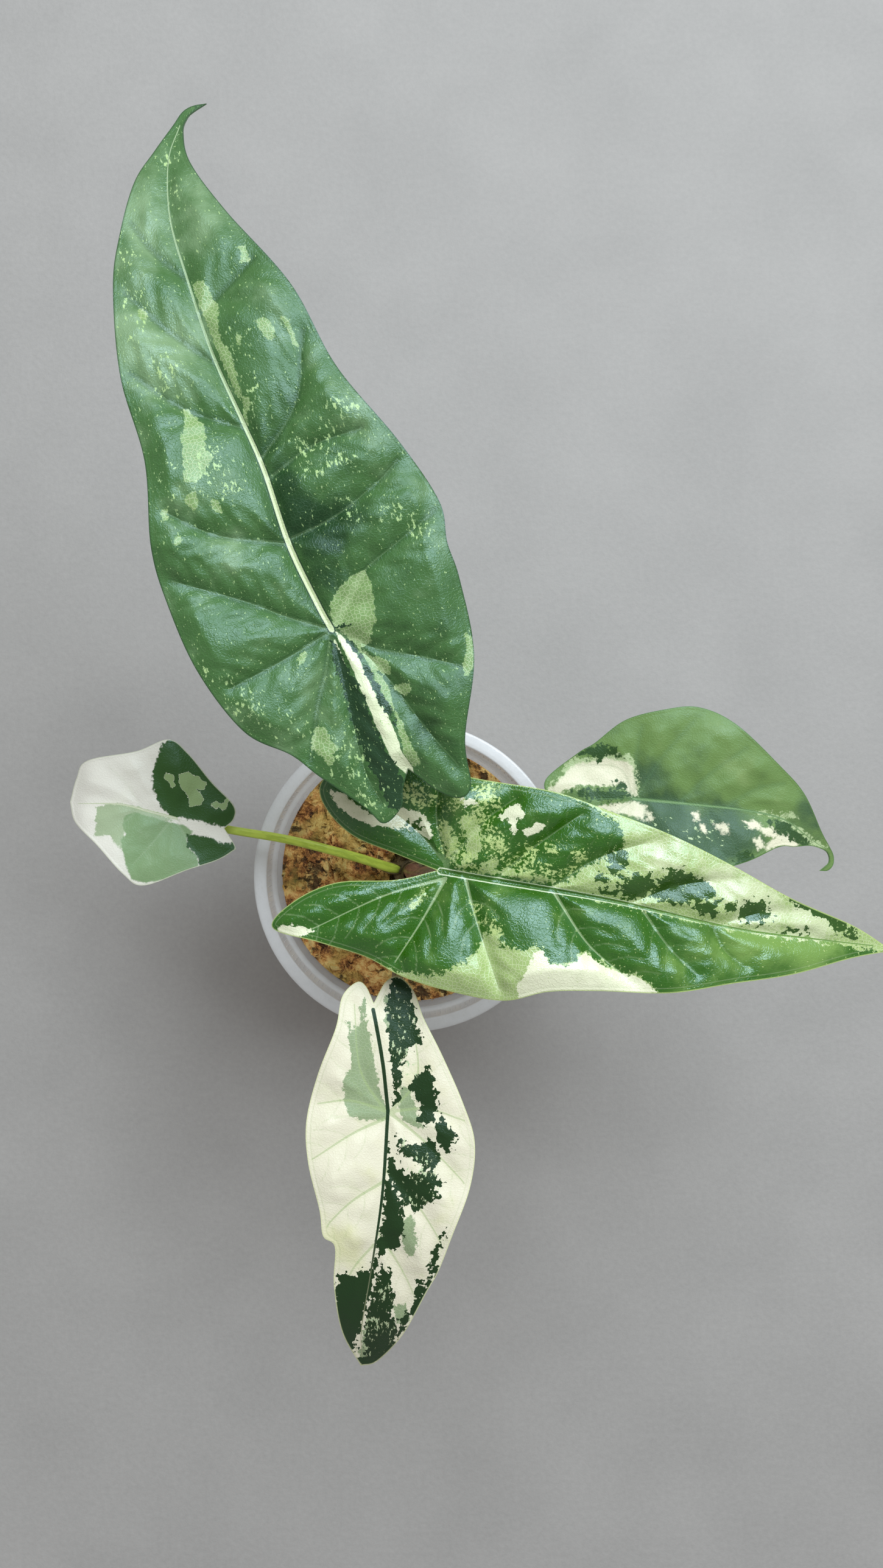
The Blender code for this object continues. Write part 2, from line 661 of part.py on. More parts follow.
def lump_heights(points):
    """The lumps of moss and the bark chips that stand up from the mix, at plan points."""
    draw = random.Random(MIX_SEED)
    height = np.zeros(len(points))
    for _ in range(MIX_LUMPS):
        distance = CUP_STEP_RADIUS * math.sqrt(draw.random())
        place = draw.uniform(0.0, 2 * math.pi)
        turn = draw.uniform(0.0, math.pi)
        radius = draw.uniform(*MIX_LUMP_RADIUS)
        tall = draw.uniform(*MIX_LUMP_HEIGHT)
        slim = draw.uniform(*MIX_LUMP_SLIMNESS)
        offset = points - (distance * math.cos(place), distance * math.sin(place))
        length = offset @ (math.cos(turn), math.sin(turn)) / radius
        width = offset @ (-math.sin(turn), math.cos(turn)) / (radius * slim)
        dome = np.clip(1.0 - length**2 - width**2, 0.0, 1.0)
        height = np.maximum(height, tall * np.sqrt(dome))
    return height


def add_mix():
    """The plug of planting mix, with a plain hole for the stem and a lumpy top."""
    hole = STEM_RADIUS + GAP
    edge = cup_inner_radius(MIX_TOP) - GAP
    turns = np.linspace(0.0, 2 * math.pi, MIX_SIDES, endpoint=False)
    circle = np.stack([np.cos(turns), np.sin(turns)], axis=1)
    stem = np.array(STEM_CENTRE)
    bottom = CUP_FLOOR_RISE + CUP_WALL + GAP
    rings = [
        np.column_stack([stem + circle * hole, np.full(MIX_SIDES, STEM_BOTTOM - GAP)]),
    ]
    for share in np.linspace(0.0, 1.0, MIX_RINGS):
        plan = stem * (1.0 - share) + circle * (hole + share * (edge - hole))
        lumps = lump_heights(plan) * min(1.0, MIX_EDGE_CALM * (1.0 - share))
        top = MIX_TOP - MIX_EDGE_DROP * share**2 + lumps
        rings.append(np.column_stack([plan, top]))
    for height in (*MIX_WALL_HEIGHTS, bottom):
        wall = circle * (cup_inner_radius(height) - GAP)
        rings.append(np.column_stack([wall, np.full(MIX_SIDES, height)]))
    points = [(*STEM_CENTRE, STEM_BOTTOM - GAP), *np.concatenate(rings), (0.0, 0.0, bottom)]
    faces = []
    for i in range(MIX_SIDES):
        j = (i + 1) % MIX_SIDES
        faces.append((0, 1 + i, 1 + j))
        for ring in range(len(rings) - 1):
            inner, outer = 1 + ring * MIX_SIDES, 1 + (ring + 1) * MIX_SIDES
            faces.append((inner + j, inner + i, outer + i, outer + j))
        last = 1 + (len(rings) - 1) * MIX_SIDES
        faces.append((last + j, last + i, len(points) - 1))
    mesh = mesh_of("planting_mix", points, faces)
    return finish("planting_mix", mesh, MIX_COLOUR, roughness=0.95)


def add_stem():
    """The short stem in the mix, with a socket in its top for the foot of each stalk."""
    foot = [(share * STEM_RADIUS, STEM_BOTTOM + over) for share, over in STEM_FOOT]
    crown = [(share * STEM_RADIUS, STEM_TOP - under) for share, under in STEM_CROWN]
    profile = [(0.0, STEM_BOTTOM), *foot, *crown, (0.0, STEM_TOP)]
    mesh = turned("stem", profile, STEM_SIDES, STEM_CENTRE)
    stem = finish("stem", mesh, STEM_COLOUR, roughness=0.7)
    for leaf in LEAVES:
        path = stalk_path(leaf)[:SOCKET_POINTS]
        path[0] += (path[0] - path[1]) * (GAP / np.linalg.norm(path[1] - path[0]))
        radii = np.full(len(path), leaf.stalk_radii[0] + GAP)
        points = [point for ring in rings_along(path, radii, STALK_SIDES) for point in ring]
        points += [path[0], path[-1]]
        name = f"socket_{leaf.place}"
        cutter = bpy.data.objects.new(name, mesh_of(name, points, tube_faces(len(path), STALK_SIDES)))
        bpy.context.scene.collection.objects.link(cutter)
        cut(stem, cutter)
    return stem


def main():
    clear_scene()
    add_cup()
    add_mix()
    add_stem()
    for leaf in LEAVES:
        add_stalk(leaf, add_blade(leaf))


main()
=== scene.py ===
"""The looks of a potted alocasia: blades, stalks, stem, cup and planting mix, built round its solid model.

Leaf outlines, markings and other shapes are in millimetres, and MM makes them metres. A leaf is laid out in
its own plan: along the midrib from the stalk, and across it to the left.
"""

import math
import random
from dataclasses import dataclass

import bmesh
import bpy
import numpy as np
from bpy.props import FloatProperty, FloatVectorProperty, IntProperty, PointerProperty
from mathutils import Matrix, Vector, noise
from mathutils.bvhtree import BVHTree
from mathutils.geometry import delaunay_2d_cdt


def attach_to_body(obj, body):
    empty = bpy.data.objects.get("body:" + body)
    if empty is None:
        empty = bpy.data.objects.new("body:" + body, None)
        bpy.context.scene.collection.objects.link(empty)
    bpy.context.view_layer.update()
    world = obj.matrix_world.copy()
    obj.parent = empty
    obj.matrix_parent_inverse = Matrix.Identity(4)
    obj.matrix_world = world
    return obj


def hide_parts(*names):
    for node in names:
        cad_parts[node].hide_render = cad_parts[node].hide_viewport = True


bl_info = {
    "name": "Potted alocasia",
    "version": (1, 0, 0),
    "blender": (4, 5, 0),
    "location": "View3D > Sidebar > Plant",
    "description": "Builds a variegated alocasia in a clear nursery cup",
    "category": "Object",
}

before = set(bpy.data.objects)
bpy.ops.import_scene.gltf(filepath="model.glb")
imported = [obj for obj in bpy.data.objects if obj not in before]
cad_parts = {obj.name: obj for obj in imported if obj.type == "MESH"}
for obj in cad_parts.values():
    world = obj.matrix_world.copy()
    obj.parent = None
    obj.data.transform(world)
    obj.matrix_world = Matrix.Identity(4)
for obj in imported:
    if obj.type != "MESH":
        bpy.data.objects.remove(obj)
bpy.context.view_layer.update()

MM = 0.001

# The view, as a camera straight above the plant sees it
EYE = (12.5, 35.8, 525.0)
LENS = 25.0
SENSOR = 36.0

# How curves and surfaces are drawn
CURVE_STEPS = 16
PROFILE_STEP = 0.5
SMOOTH_ANGLE = 40.0
TINY = 1e-9

# The cup, with the measures of the solid one, and the fine ribs in its mouth
CUP_HEIGHT = 105.0
CUP_RIM_RADIUS = 60.0
CUP_MOUTH_RADIUS = 55.0
CUP_STEP_RADIUS = 52.6
CUP_STEP_HEIGHT = 93.5
CUP_BASE_RADIUS = 43.0
CUP_WALL = 1.1
CUP_SKIRT = 4.0
CUP_FOOT_WIDTH = 8.0
CUP_FLOOR_RISE = 1.6
CUP_PAD_RADIUS = 12.0
CUP_FLOOR_SLOPE = 2.0
CUP_LIP_ROUND = 0.8
CUP_LIP_POINTS = 5
DRAIN_COUNT = 8
DRAIN_CIRCLE = 22.0
DRAIN_RADIUS = 3.2
DRAIN_SIDES = 32
DRAIN_CUT = 20.0
LID_RIB_LENGTH = 6.5
LID_RIB_WIDTH = 0.35
LID_RIB_TAPER = 0.4
LID_RIB_SIDES = 6
LID_RIB_SUNK = 0.15
LID_RIB_RISE = 2.2

# Heights between which the plastic turns milky at the mouth, and a little more at the lip
MOUTH_MILKY = (92.5, 94.5)
LIP_MILKY = (99.5, 101.5)
LIP_SHARE = 0.05

# The mix, with the measures of the solid one
MIX_TOP = 88.0
MIX_EDGE_DROP = 2.5
MIX_LUMPS = 90
MIX_LUMP_RADIUS = (4.0, 9.0)
MIX_LUMP_HEIGHT = (1.2, 3.6)
MIX_LUMP_SLIMNESS = (0.5, 1.0)
MIX_EDGE_CALM = 5.0
MIX_SEED = 5
GAP = 0.3

# The finer crumbs on its top, the bumps on its wall, the edge of its hole, and the shades of its bits
CRUMB_HEIGHT = 0.9
CRUMB_PITCH = 0.5
CRUMB_LAYER = 3.0
CRUMB_FRACTAL = (1.0, 2.0, 3)
BUMP_DEPTH = 0.9
BUMP_PITCH = 0.2
BUMP_SHARE = 0.15
WALL_TOP_DROP = 1.5
WALL_RINGS = 0.9
HOLE_LIP = 1.0
SHADE_MEAN = 0.45
SHADE_SWING = 0.7
SHADE_SIZE = 2.5
OWN_SHADE = 0.5

# Loose bits of bark and moss, and the part of the mix that they lie on
GROUND_LEAST_FACING = -0.5
GROUND_LOWEST = 60.0
GROUND_INNER_RADIUS = 8.0
BIT_KINDS = 6
CHIP_SEED = 40
CHIP_CORNERS = 11
CHIP_REACH = (0.6, 1.0)
CHIP_SLIMNESS = 0.55
CHIP_THICKNESS = 0.4
CHIP_LEAN = 0.7
CHIP_STREWING = 3
STRAND_SEED = 90
STRAND_STEPS = 4
STRAND_CURL = 0.9
STRAND_LIFT = 0.45
STRAND_SPACING = 0.75
STRAND_RADIUS = 0.14
STRAND_TAPER = 0.7
STRAND_SIDES = 3
STRAND_LEAN = 0.5
STRAND_STREWING = 8

# The stem, with the measures of the solid one, its scars, and the dry sheaths
STEM_CENTRE = (1.2, 0.9)
STEM_RADIUS = 10.8
STEM_BOTTOM = 55.0
STEM_TOP = 91.5
STEM_STEP = 0.8
STEM_FOOT_SHARE = 0.65
STEM_WIDENING = 0.33
STEM_WIDEST_AFTER = 2.2
STEM_SHOULDER = 6.0
STEM_CROWN_SHARE = 0.72
STEM_UNEVEN = 0.05
STEM_UNEVEN_SIZE = 5.0
SCAR_HEIGHT = 0.35
SCAR_SHARPNESS = 8
SHEATH_REACH = 0.95 * math.pi
SHEATH_POINTED = 1.6
SHEATH_TIP = 0.04
SHEATH_TAPER = 0.25
SHEATH_CLEAR = 0.3
SHEATH_THICKNESS = 0.3
SHEATH_COLUMNS = 15
CRINKLE = 0.25
CRINKLE_SIZE = 3.0

# The blades' relief
FOLD_SOFTNESS = 5.0
QUILT_HEIGHT = 1.3
QUILT_REACH = 6.5
MIDRIB_DEPTH = 1.5
MIDRIB_REACH = 2.4
SIDE_RIB_DEPTH = 0.45
SIDE_RIB_REACH = 1.6
KNUCKLE_DEPTH = 1.4
KNUCKLE_REACH = 7.0
RIB_FADE = 12.0
RIB_LEAST = 0.15
NORMAL_STEP = 0.5
CREASE_REACH = 3.0
CREASE_SHARPNESS = 1.4
PUCKER_PITCH = 0.16
EDGE_THIN = 0.6
EDGE_REACH = 3.0

# Side veins, and the lesser veins that leave them
VEIN_MARGIN_STEP = 2.0
VEIN_STRIDE = 4.0
VEIN_BEND = 0.12
VEIN_LONGEST = 8
VEIN_WIDE = 0.6
VEIN_THIN = 0.1
VEIN_TAPER = 14.0
VEIN_END_CLEAR = 2.0
TWIG_VEIN_STEP = 1.0
TWIG_STEP = 7
TWIG_TURN = math.radians(58)
TWIG_BENDS = (1.0, 0.75, 0.45)
TWIG_LENGTH = 11.0
TWIG_SPACING = 1.5
TWIG_HEIGHT = 0.4
TWIG_REACH = 1.6
TWIG_MOST = 1.2

# The net of points over a blade
NET_CLEAR = 0.55
NET_END_CLEAR = 0.4
NET_TOLERANCE = 1e-4

# The leafstalks
STALK_TAPER = 1.6
STALK_PROBE = 20.0
STALK_ROOTED = 0.4
STALK_STREAK = 0.25
GROOVE_HALF_WIDTH = 0.55

# Leaf skins: how far the noises push the edges of patches, and how the far part of the blade fades
PUSH_OF_CLOUD = 8.0
PUSH_OF_FRAY = 10.0
DARK_PUSH_OF_LUMPS = 13.0
DARK_PUSH_OF_CLOUD = 4.0
CREAM_PUSH_SHARE = 0.4
OUTSIDE_PATCHES = -8.0
TONE_SWING = 2.4
FAR_PART = (35.0, 95.0)
FAR_VEIN_FADE = 0.85
FAR_RAIL_FADE = 0.7
FAR_CORE_FADE = 0.8
LEAF_GLEAM = (0.72, 0.92, 1.0)

# The stage
FLOOR_HALF = 1500.0
FLOOR_DARK = 0.72
FLOOR_LIGHT = 1.22
LAMP_SIZE = (2.0, 1.0)
LAMP_COLOUR = (0.84, 0.94, 1.0)
LAMP_PLACE = (0.45, 0.95, 1.6)
LAMP_AIM = Vector((0.0, 0.02, 0.12))
ROOM_COLOUR = (1.0, 0.97, 0.94, 1.0)


def tint(red, green, blue):
    """A colour on the usual 0 to 255 scale as the light values that a shader takes."""
    shares = [value / 255.0 for value in (red, green, blue)]
    return tuple(s / 12.92 if s <= 0.04045 else ((s + 0.055) / 1.055) ** 2.4 for s in shares)


@dataclass
class Skin:
    """The colours and finish of one leaf's skin."""

    # deep and light are the darker and lighter greens; they also colour the painted shade and sheen
    deep: tuple
    green: tuple
    light: tuple
    pale: tuple
    cream: tuple
    dark: tuple
    fleck: tuple
    vein: tuple
    rib_core: tuple
    rib_rail: tuple
    margin: tuple
    vein_show: float
    fleck_size: float
    fleck_rare: float
    fleck_dense: float
    net_show: float
    ragged: float
    frayed: float
    rib_half: float
    rib_rail_share: float
    crease: float
    pebble: float
    gloss: float
    roughness: float
    seam_thin: float = 0.5
    # Share of the vein lines left of the midrib; the brighter lines right of it are partly painted highlight
    vein_share_off_sheen: float = 1.0
    blur: float = 0.1
    crowding: float = 1.0
    stretch: float = 0.6
    speck_rare: float = 1.0


@dataclass
class Leaf:
    """One leaf. Its plan is drawn at the height of the stalk's end, as it is seen from EYE.

    A point that rises or droops slides along its own line of sight, so the outline keeps its look from there.
    Sharp corners of the margin are where one run of the margin ends and the next begins.
    Its stalk's colours are the main one, the mottle's (also its painted underside shade) and that of the
    upper end.
    """

    place: str
    blade_slot: str
    stalk_slot: str
    stalk_colours: tuple
    attach: tuple
    heading: float
    margin: list
    midrib: list
    seam: list
    veins: list
    rise: list
    fold: float
    roll: float
    half_width: float
    waves: tuple
    lean: float
    stalk: list
    stalk_radii: tuple
    pale: dict
    cream: dict
    dark: dict
    scatter: dict
    # Soft spots (along, across, reach, amount) that lighten or darken the green: partly the leaf's own tone,
    # partly painted sheen and painted shade
    tones_and_painted_light: list
    skin: Skin
    stalk_meets: tuple = (0.0, 0.0)


BACK_LEAF = Leaf(
    place="back",
    blade_slot="leaf_speckled_green",
    stalk_slot="stalk_brown",
    stalk_colours=(tint(112, 96, 58), tint(74, 48, 34), tint(150, 166, 86)),
    attach=(-18.7, 79.6, 215.0),
    heading=106.0,
    margin=[
        [(154, -7), (152.8, -3), (151.5, -0.6), (148, 1.6), (139, 2), (123, -4), (98, -16), (72, -22),
         (47, -33), (27, -39.5), (15, -38.5), (4, -39), (-18, -37), (-40, -28), (-53, -26), (-56, -22),
         (-52, -16), (-44, -10)],
        [(-44, -10), (-49, -7), (-54, -5), (-57, 1), (-51, 5), (-39, 15), (-31, 21), (-21, 32), (-1, 40),
         (20, 43), (37, 43), (61, 38), (86, 38), (111, 33), (125, 27), (138, 19), (145, 11), (150.5, 4),
         (153.5, 0.3), (154.4, -3), (154, -7)],
    ],
    midrib=[(0, 0), (9, 2), (27, 5), (49, 6), (64, 8), (85, 11), (107, 12), (125, 12), (141, 8), (150, 2)],
    seam=[(0, 0), (-19, -4), (-34, -7), (-42, -10)],
    veins=[
        [(0, 0), (7, 11), (15, 22), (26, 40)],
        [(27, 5), (35, 24), (45, 36)],
        [(62, 8), (72, 23), (86, 35)],
        [(82, 11), (94, 21), (108, 30)],
        [(107, 12), (117, 19), (127, 23)],
        [(1, -1), (8, -8), (14, -14), (19, -25), (23, -34)],
        [(28, 5), (31, -10), (37, -24)],
        [(46, 6), (52, -9), (53, -24)],
        [(52, 6), (65, -8), (80, -14)],
        [(96, 12), (103, 0), (108, -8)],
        [(0, 0), (-8, -10), (-14, -22), (-20, -33)],
        [(-2, -2), (-14, -10), (-34, -18), (-47, -24)],
        [(-3, 0), (-20, 1), (-40, 2), (-51, 0)],
        [(-2, 1), (-11, 5), (-20, 10), (-34, 16)],
        [(0, 0), (-4, 14), (-8, 32)],
    ],
    rise=[(-57, -9), (-30, -3), (0, 0), (50, 4), (100, 1), (135, -8), (154, -18)],
    fold=11.0,
    roll=4.0,
    half_width=42.0,
    waves=(1.8, 46.0, 0.7),
    lean=0.02,
    stalk=[(-0.8, 7.8, 86.3), (-0.8, 9.6, 98), (-0.4, 22, 124), (0.0, 41, 153), (-6, 60, 182),
           (-14, 73.5, 203)],
    stalk_radii=(2.7, 1.8),
    pale={
        "strip beside the midrib": [
            (105, 11), (105.5, 9), (105, 7), (99.5, 6.5), (97.5, 5), (88, 7.5), (83, 5.5), (78, 5.5),
            (70.5, 6), (71, 7.5), (82.5, 9), (96, 10.5),
        ],
        "end of the strip": [(70.5, 6), (69.5, 3.5), (67.5, 4), (65, 6.5), (62, 7), (62.5, 8)],
        "spot on the right": [(89, -3.5), (90, -6.5), (86, -8.5), (82.5, -7), (84.5, -5)],
        "first small spot": [(87, 2.5), (87, 1), (84, 2), (84.5, 3)],
        "second small spot": [(112, -5), (112, -7), (107, -6.5), (107.5, -4.5)],
        "block on the left": [
            (72, 23), (69, 20.5), (65, 19), (61, 19.5), (58.5, 21), (55.5, 19), (51.5, 23), (50, 25.5),
            (51, 29), (61, 26.5), (64, 26.5), (65, 25),
        ],
        "spot below it": [(47, 30.5), (48, 27), (44.5, 26.5), (43, 28.5), (45.5, 30)],
        "next spot": [(45.5, 24), (43.5, 21), (40, 21), (41.5, 23)],
        "spot by the left margin": [(45.5, 37.5), (46, 35.5), (43, 36), (41.5, 38)],
        "lower spot": [(37.5, 36), (37.5, 34), (35, 34.5), (35, 36.5)],
        "margin fleck": [(102.5, 28), (103, 26), (100, 25.5), (98, 27.5), (100, 28.5)],
        "netted patch": [
            (14, -13.5), (10, -15), (6.5, -14.5), (-1, -13.5), (-5, -10.5), (-7, -9), (-6.5, -6.5),
            (-3, -4.5), (0.5, -1), (4.5, -1), (8, -2.5), (10.5, -5), (13, -9.5),
        ],
        "first lobe spot": [
            (-9.5, -7.5), (-11, -11), (-13, -13), (-15, -13.5), (-16.5, -12.5), (-15.5, -10.5), (-14, -8),
        ],
        "second lobe spot": [
            (-20.5, -12.5), (-20, -15), (-20.5, -17.5), (-23, -17.5), (-24, -15), (-22, -13),
        ],
        "left lobe patch": [
            (-25, 12), (-25.5, 10), (-30, 9), (-32.5, 7.5), (-33.5, 9.5), (-36, 10), (-37, 11.5),
            (-34, 12.5), (-31.5, 14.5), (-29, 14.5),
        ],
        "strip on the right margin": [
            (-10.5, -36.5), (-13, -37.5), (-17.5, -38), (-21.5, -35.5), (-23, -33), (-20.5, -33),
            (-16.5, -35),
        ],
        "streak by the right margin": [(89, -11), (87.5, -12.5), (79.5, -13.5), (81, -12)],
        "small left patch": [(-8, 12.5), (-4.5, 11), (-3.5, 8.5), (-5.5, 9), (-7, 11)],
        "beside the stripe": [
            (-0.5, -2), (-3, -4.5), (-6.5, -7), (-9.5, -8), (-13.5, -9), (-19.5, -11), (-27, -11.5),
            (-35.5, -13), (-40, -14), (-43.5, -14), (-43.5, -11.5), (-39.5, -10.5), (-30.5, -11),
            (-26, -10.5), (-19.5, -8.5), (-12.5, -7.5), (-8.5, -6.5), (-4.5, -4.5),
        ],
    },
    cream={
        "stripe to the notch": [
            (0, -0.5), (-7.5, -2), (-13.5, -3), (-18.5, -3.5), (-24, -4.5), (-29.5, -5), (-35, -6),
            (-41, -7), (-45, -9), (-46.5, -11), (-44, -11.5), (-38.5, -10), (-34, -10), (-27, -9),
            (-19.5, -7), (-15, -6), (-10, -5.5), (-6, -4), (-2.5, -2.5),
        ],
        "flecks in the dark lobe": [
            (-25.5, -2), (-25.5, -3), (-28.5, -3), (-30.5, -4.2), (-31, -3.2), (-30, -2),
        ],
        "sliver by the stripe": [
            (-2, 0), (-4, -0.6), (-9, -1), (-12.5, -1), (-11.5, 0), (-8, 0.5), (-4.5, 0.5),
        ],
    },
    dark={
        # Dark green of the leaf; its wide smooth outer part is partly painted shade of the fold
        "inner side of the left lobe": [
            (-2.5, 1), (-7, -0.8), (-12, -1.8), (-15.5, -2.8), (-20, -3.6), (-25.5, -4.2), (-30.5, -4.8),
            (-37.5, -6.2), (-43, -7.5), (-49, -7.5), (-55, -4.5), (-52, -1.5), (-43.5, -0.5), (-37.5, 1),
            (-31, 1.5), (-23.5, 1.5), (-16, 1.5), (-9, 2),
        ],
        "line beside the stripe": [
            (-2.5, -2.5), (-5.5, -5), (-9.5, -6), (-13, -7.5), (-17, -8), (-20, -9), (-23.5, -10),
            (-27, -10.5), (-31, -10.5), (-30, -9.5), (-27, -9), (-23, -7.5), (-19.5, -7), (-15, -6),
            (-10, -5.5), (-6, -4),
        ],
        "lens at the stalk": [(0.5, -1.5), (1, -3.5), (0, -6), (-0.5, -5), (-0.5, -2.5)],
    },
    scatter={
        "round the left block": [(64.5, 20.5), (51.5, 11), (43.5, 12), (43.5, 33.5), (54.5, 36)],
        "left middle": [(88, 31.5), (87, 21), (78.5, 20), (74, 27.5), (81, 32)],
        "left margin": [
            (124, 27), (123, 23.5), (112, 25.5), (103, 24.5), (95.5, 27.5), (94, 33.5), (111, 32),
        ],
        "left lobe": [
            (-26.5, 5), (-29.5, 0.5), (-38.5, 0), (-48.5, -3), (-56.5, -2.5), (-54, 3), (-48, 6.5),
            (-43, 11), (-37.5, 11.5), (-33.5, 7.5),
        ],
        "lobe margin": [(2, 38), (-14, 24), (-30, 7), (-36, 10), (-24.5, 27), (-11, 39)],
        "tip": [(148.5, 8.5), (147, 4), (129.5, 7.5), (127, 9.5), (135.5, 10.5)],
        "right of the midrib": [(92, 6.5), (87.5, -0.5), (67.5, 0.5), (61, 6), (75, 6)],
        "right middle": [(63.5, -12.5), (62, -28), (50.5, -27.5), (41.5, -19.5), (42.5, -6.5), (52.5, -1)],
        "right lower": [(38, -12.5), (23.5, -37), (15, -36), (24, -20), (29, -13)],
    },
    # Tone spots: dark ones right of the midrib are painted shade, light ones on the left and tip partly
    # painted sheen
    tones_and_painted_light=[(12, -5, 7, -0.6), (22, -3, 7, -0.9), (33, 0, 7, -0.9), (44, 0, 7, -0.8), (56, 2, 7, -0.5),
           (30, -12, 9, -0.8), (80, 4, 8, -0.3), (100, 30, 14, 0.5), (88, 22, 12, 0.7), (125, 20, 12, 0.4),
           (125, 0, 12, 0.35), (45, 28, 12, 0.3), (62, -26, 9, 0.4), (48, -30, 8, 0.2), (-30, -20, 14, -0.3),
           (-20, 18, 14, 0.25), (138, 8, 14, 0.3), (95, -6, 9, 0.2), (26, 20, 9, 0.3)],
    skin=Skin(
        deep=tint(26, 60, 18), green=tint(66, 104, 50), light=tint(126, 154, 112), pale=tint(128, 158, 96),
        cream=tint(224, 230, 192), dark=tint(34, 62, 30), fleck=tint(174, 202, 136),
        vein=tint(150, 178, 128), rib_core=tint(206, 218, 172), rib_rail=tint(34, 60, 34),
        margin=tint(48, 76, 44), vein_show=0.14, rib_half=1.15, rib_rail_share=0.33, seam_thin=9.0,
        ragged=0.3, frayed=0.35, fleck_size=1.2, fleck_rare=0.65, fleck_dense=0.53, net_show=0.32,
        crease=1.7, pebble=0.7, gloss=0.62, roughness=0.4, speck_rare=0.66,
    ),
)

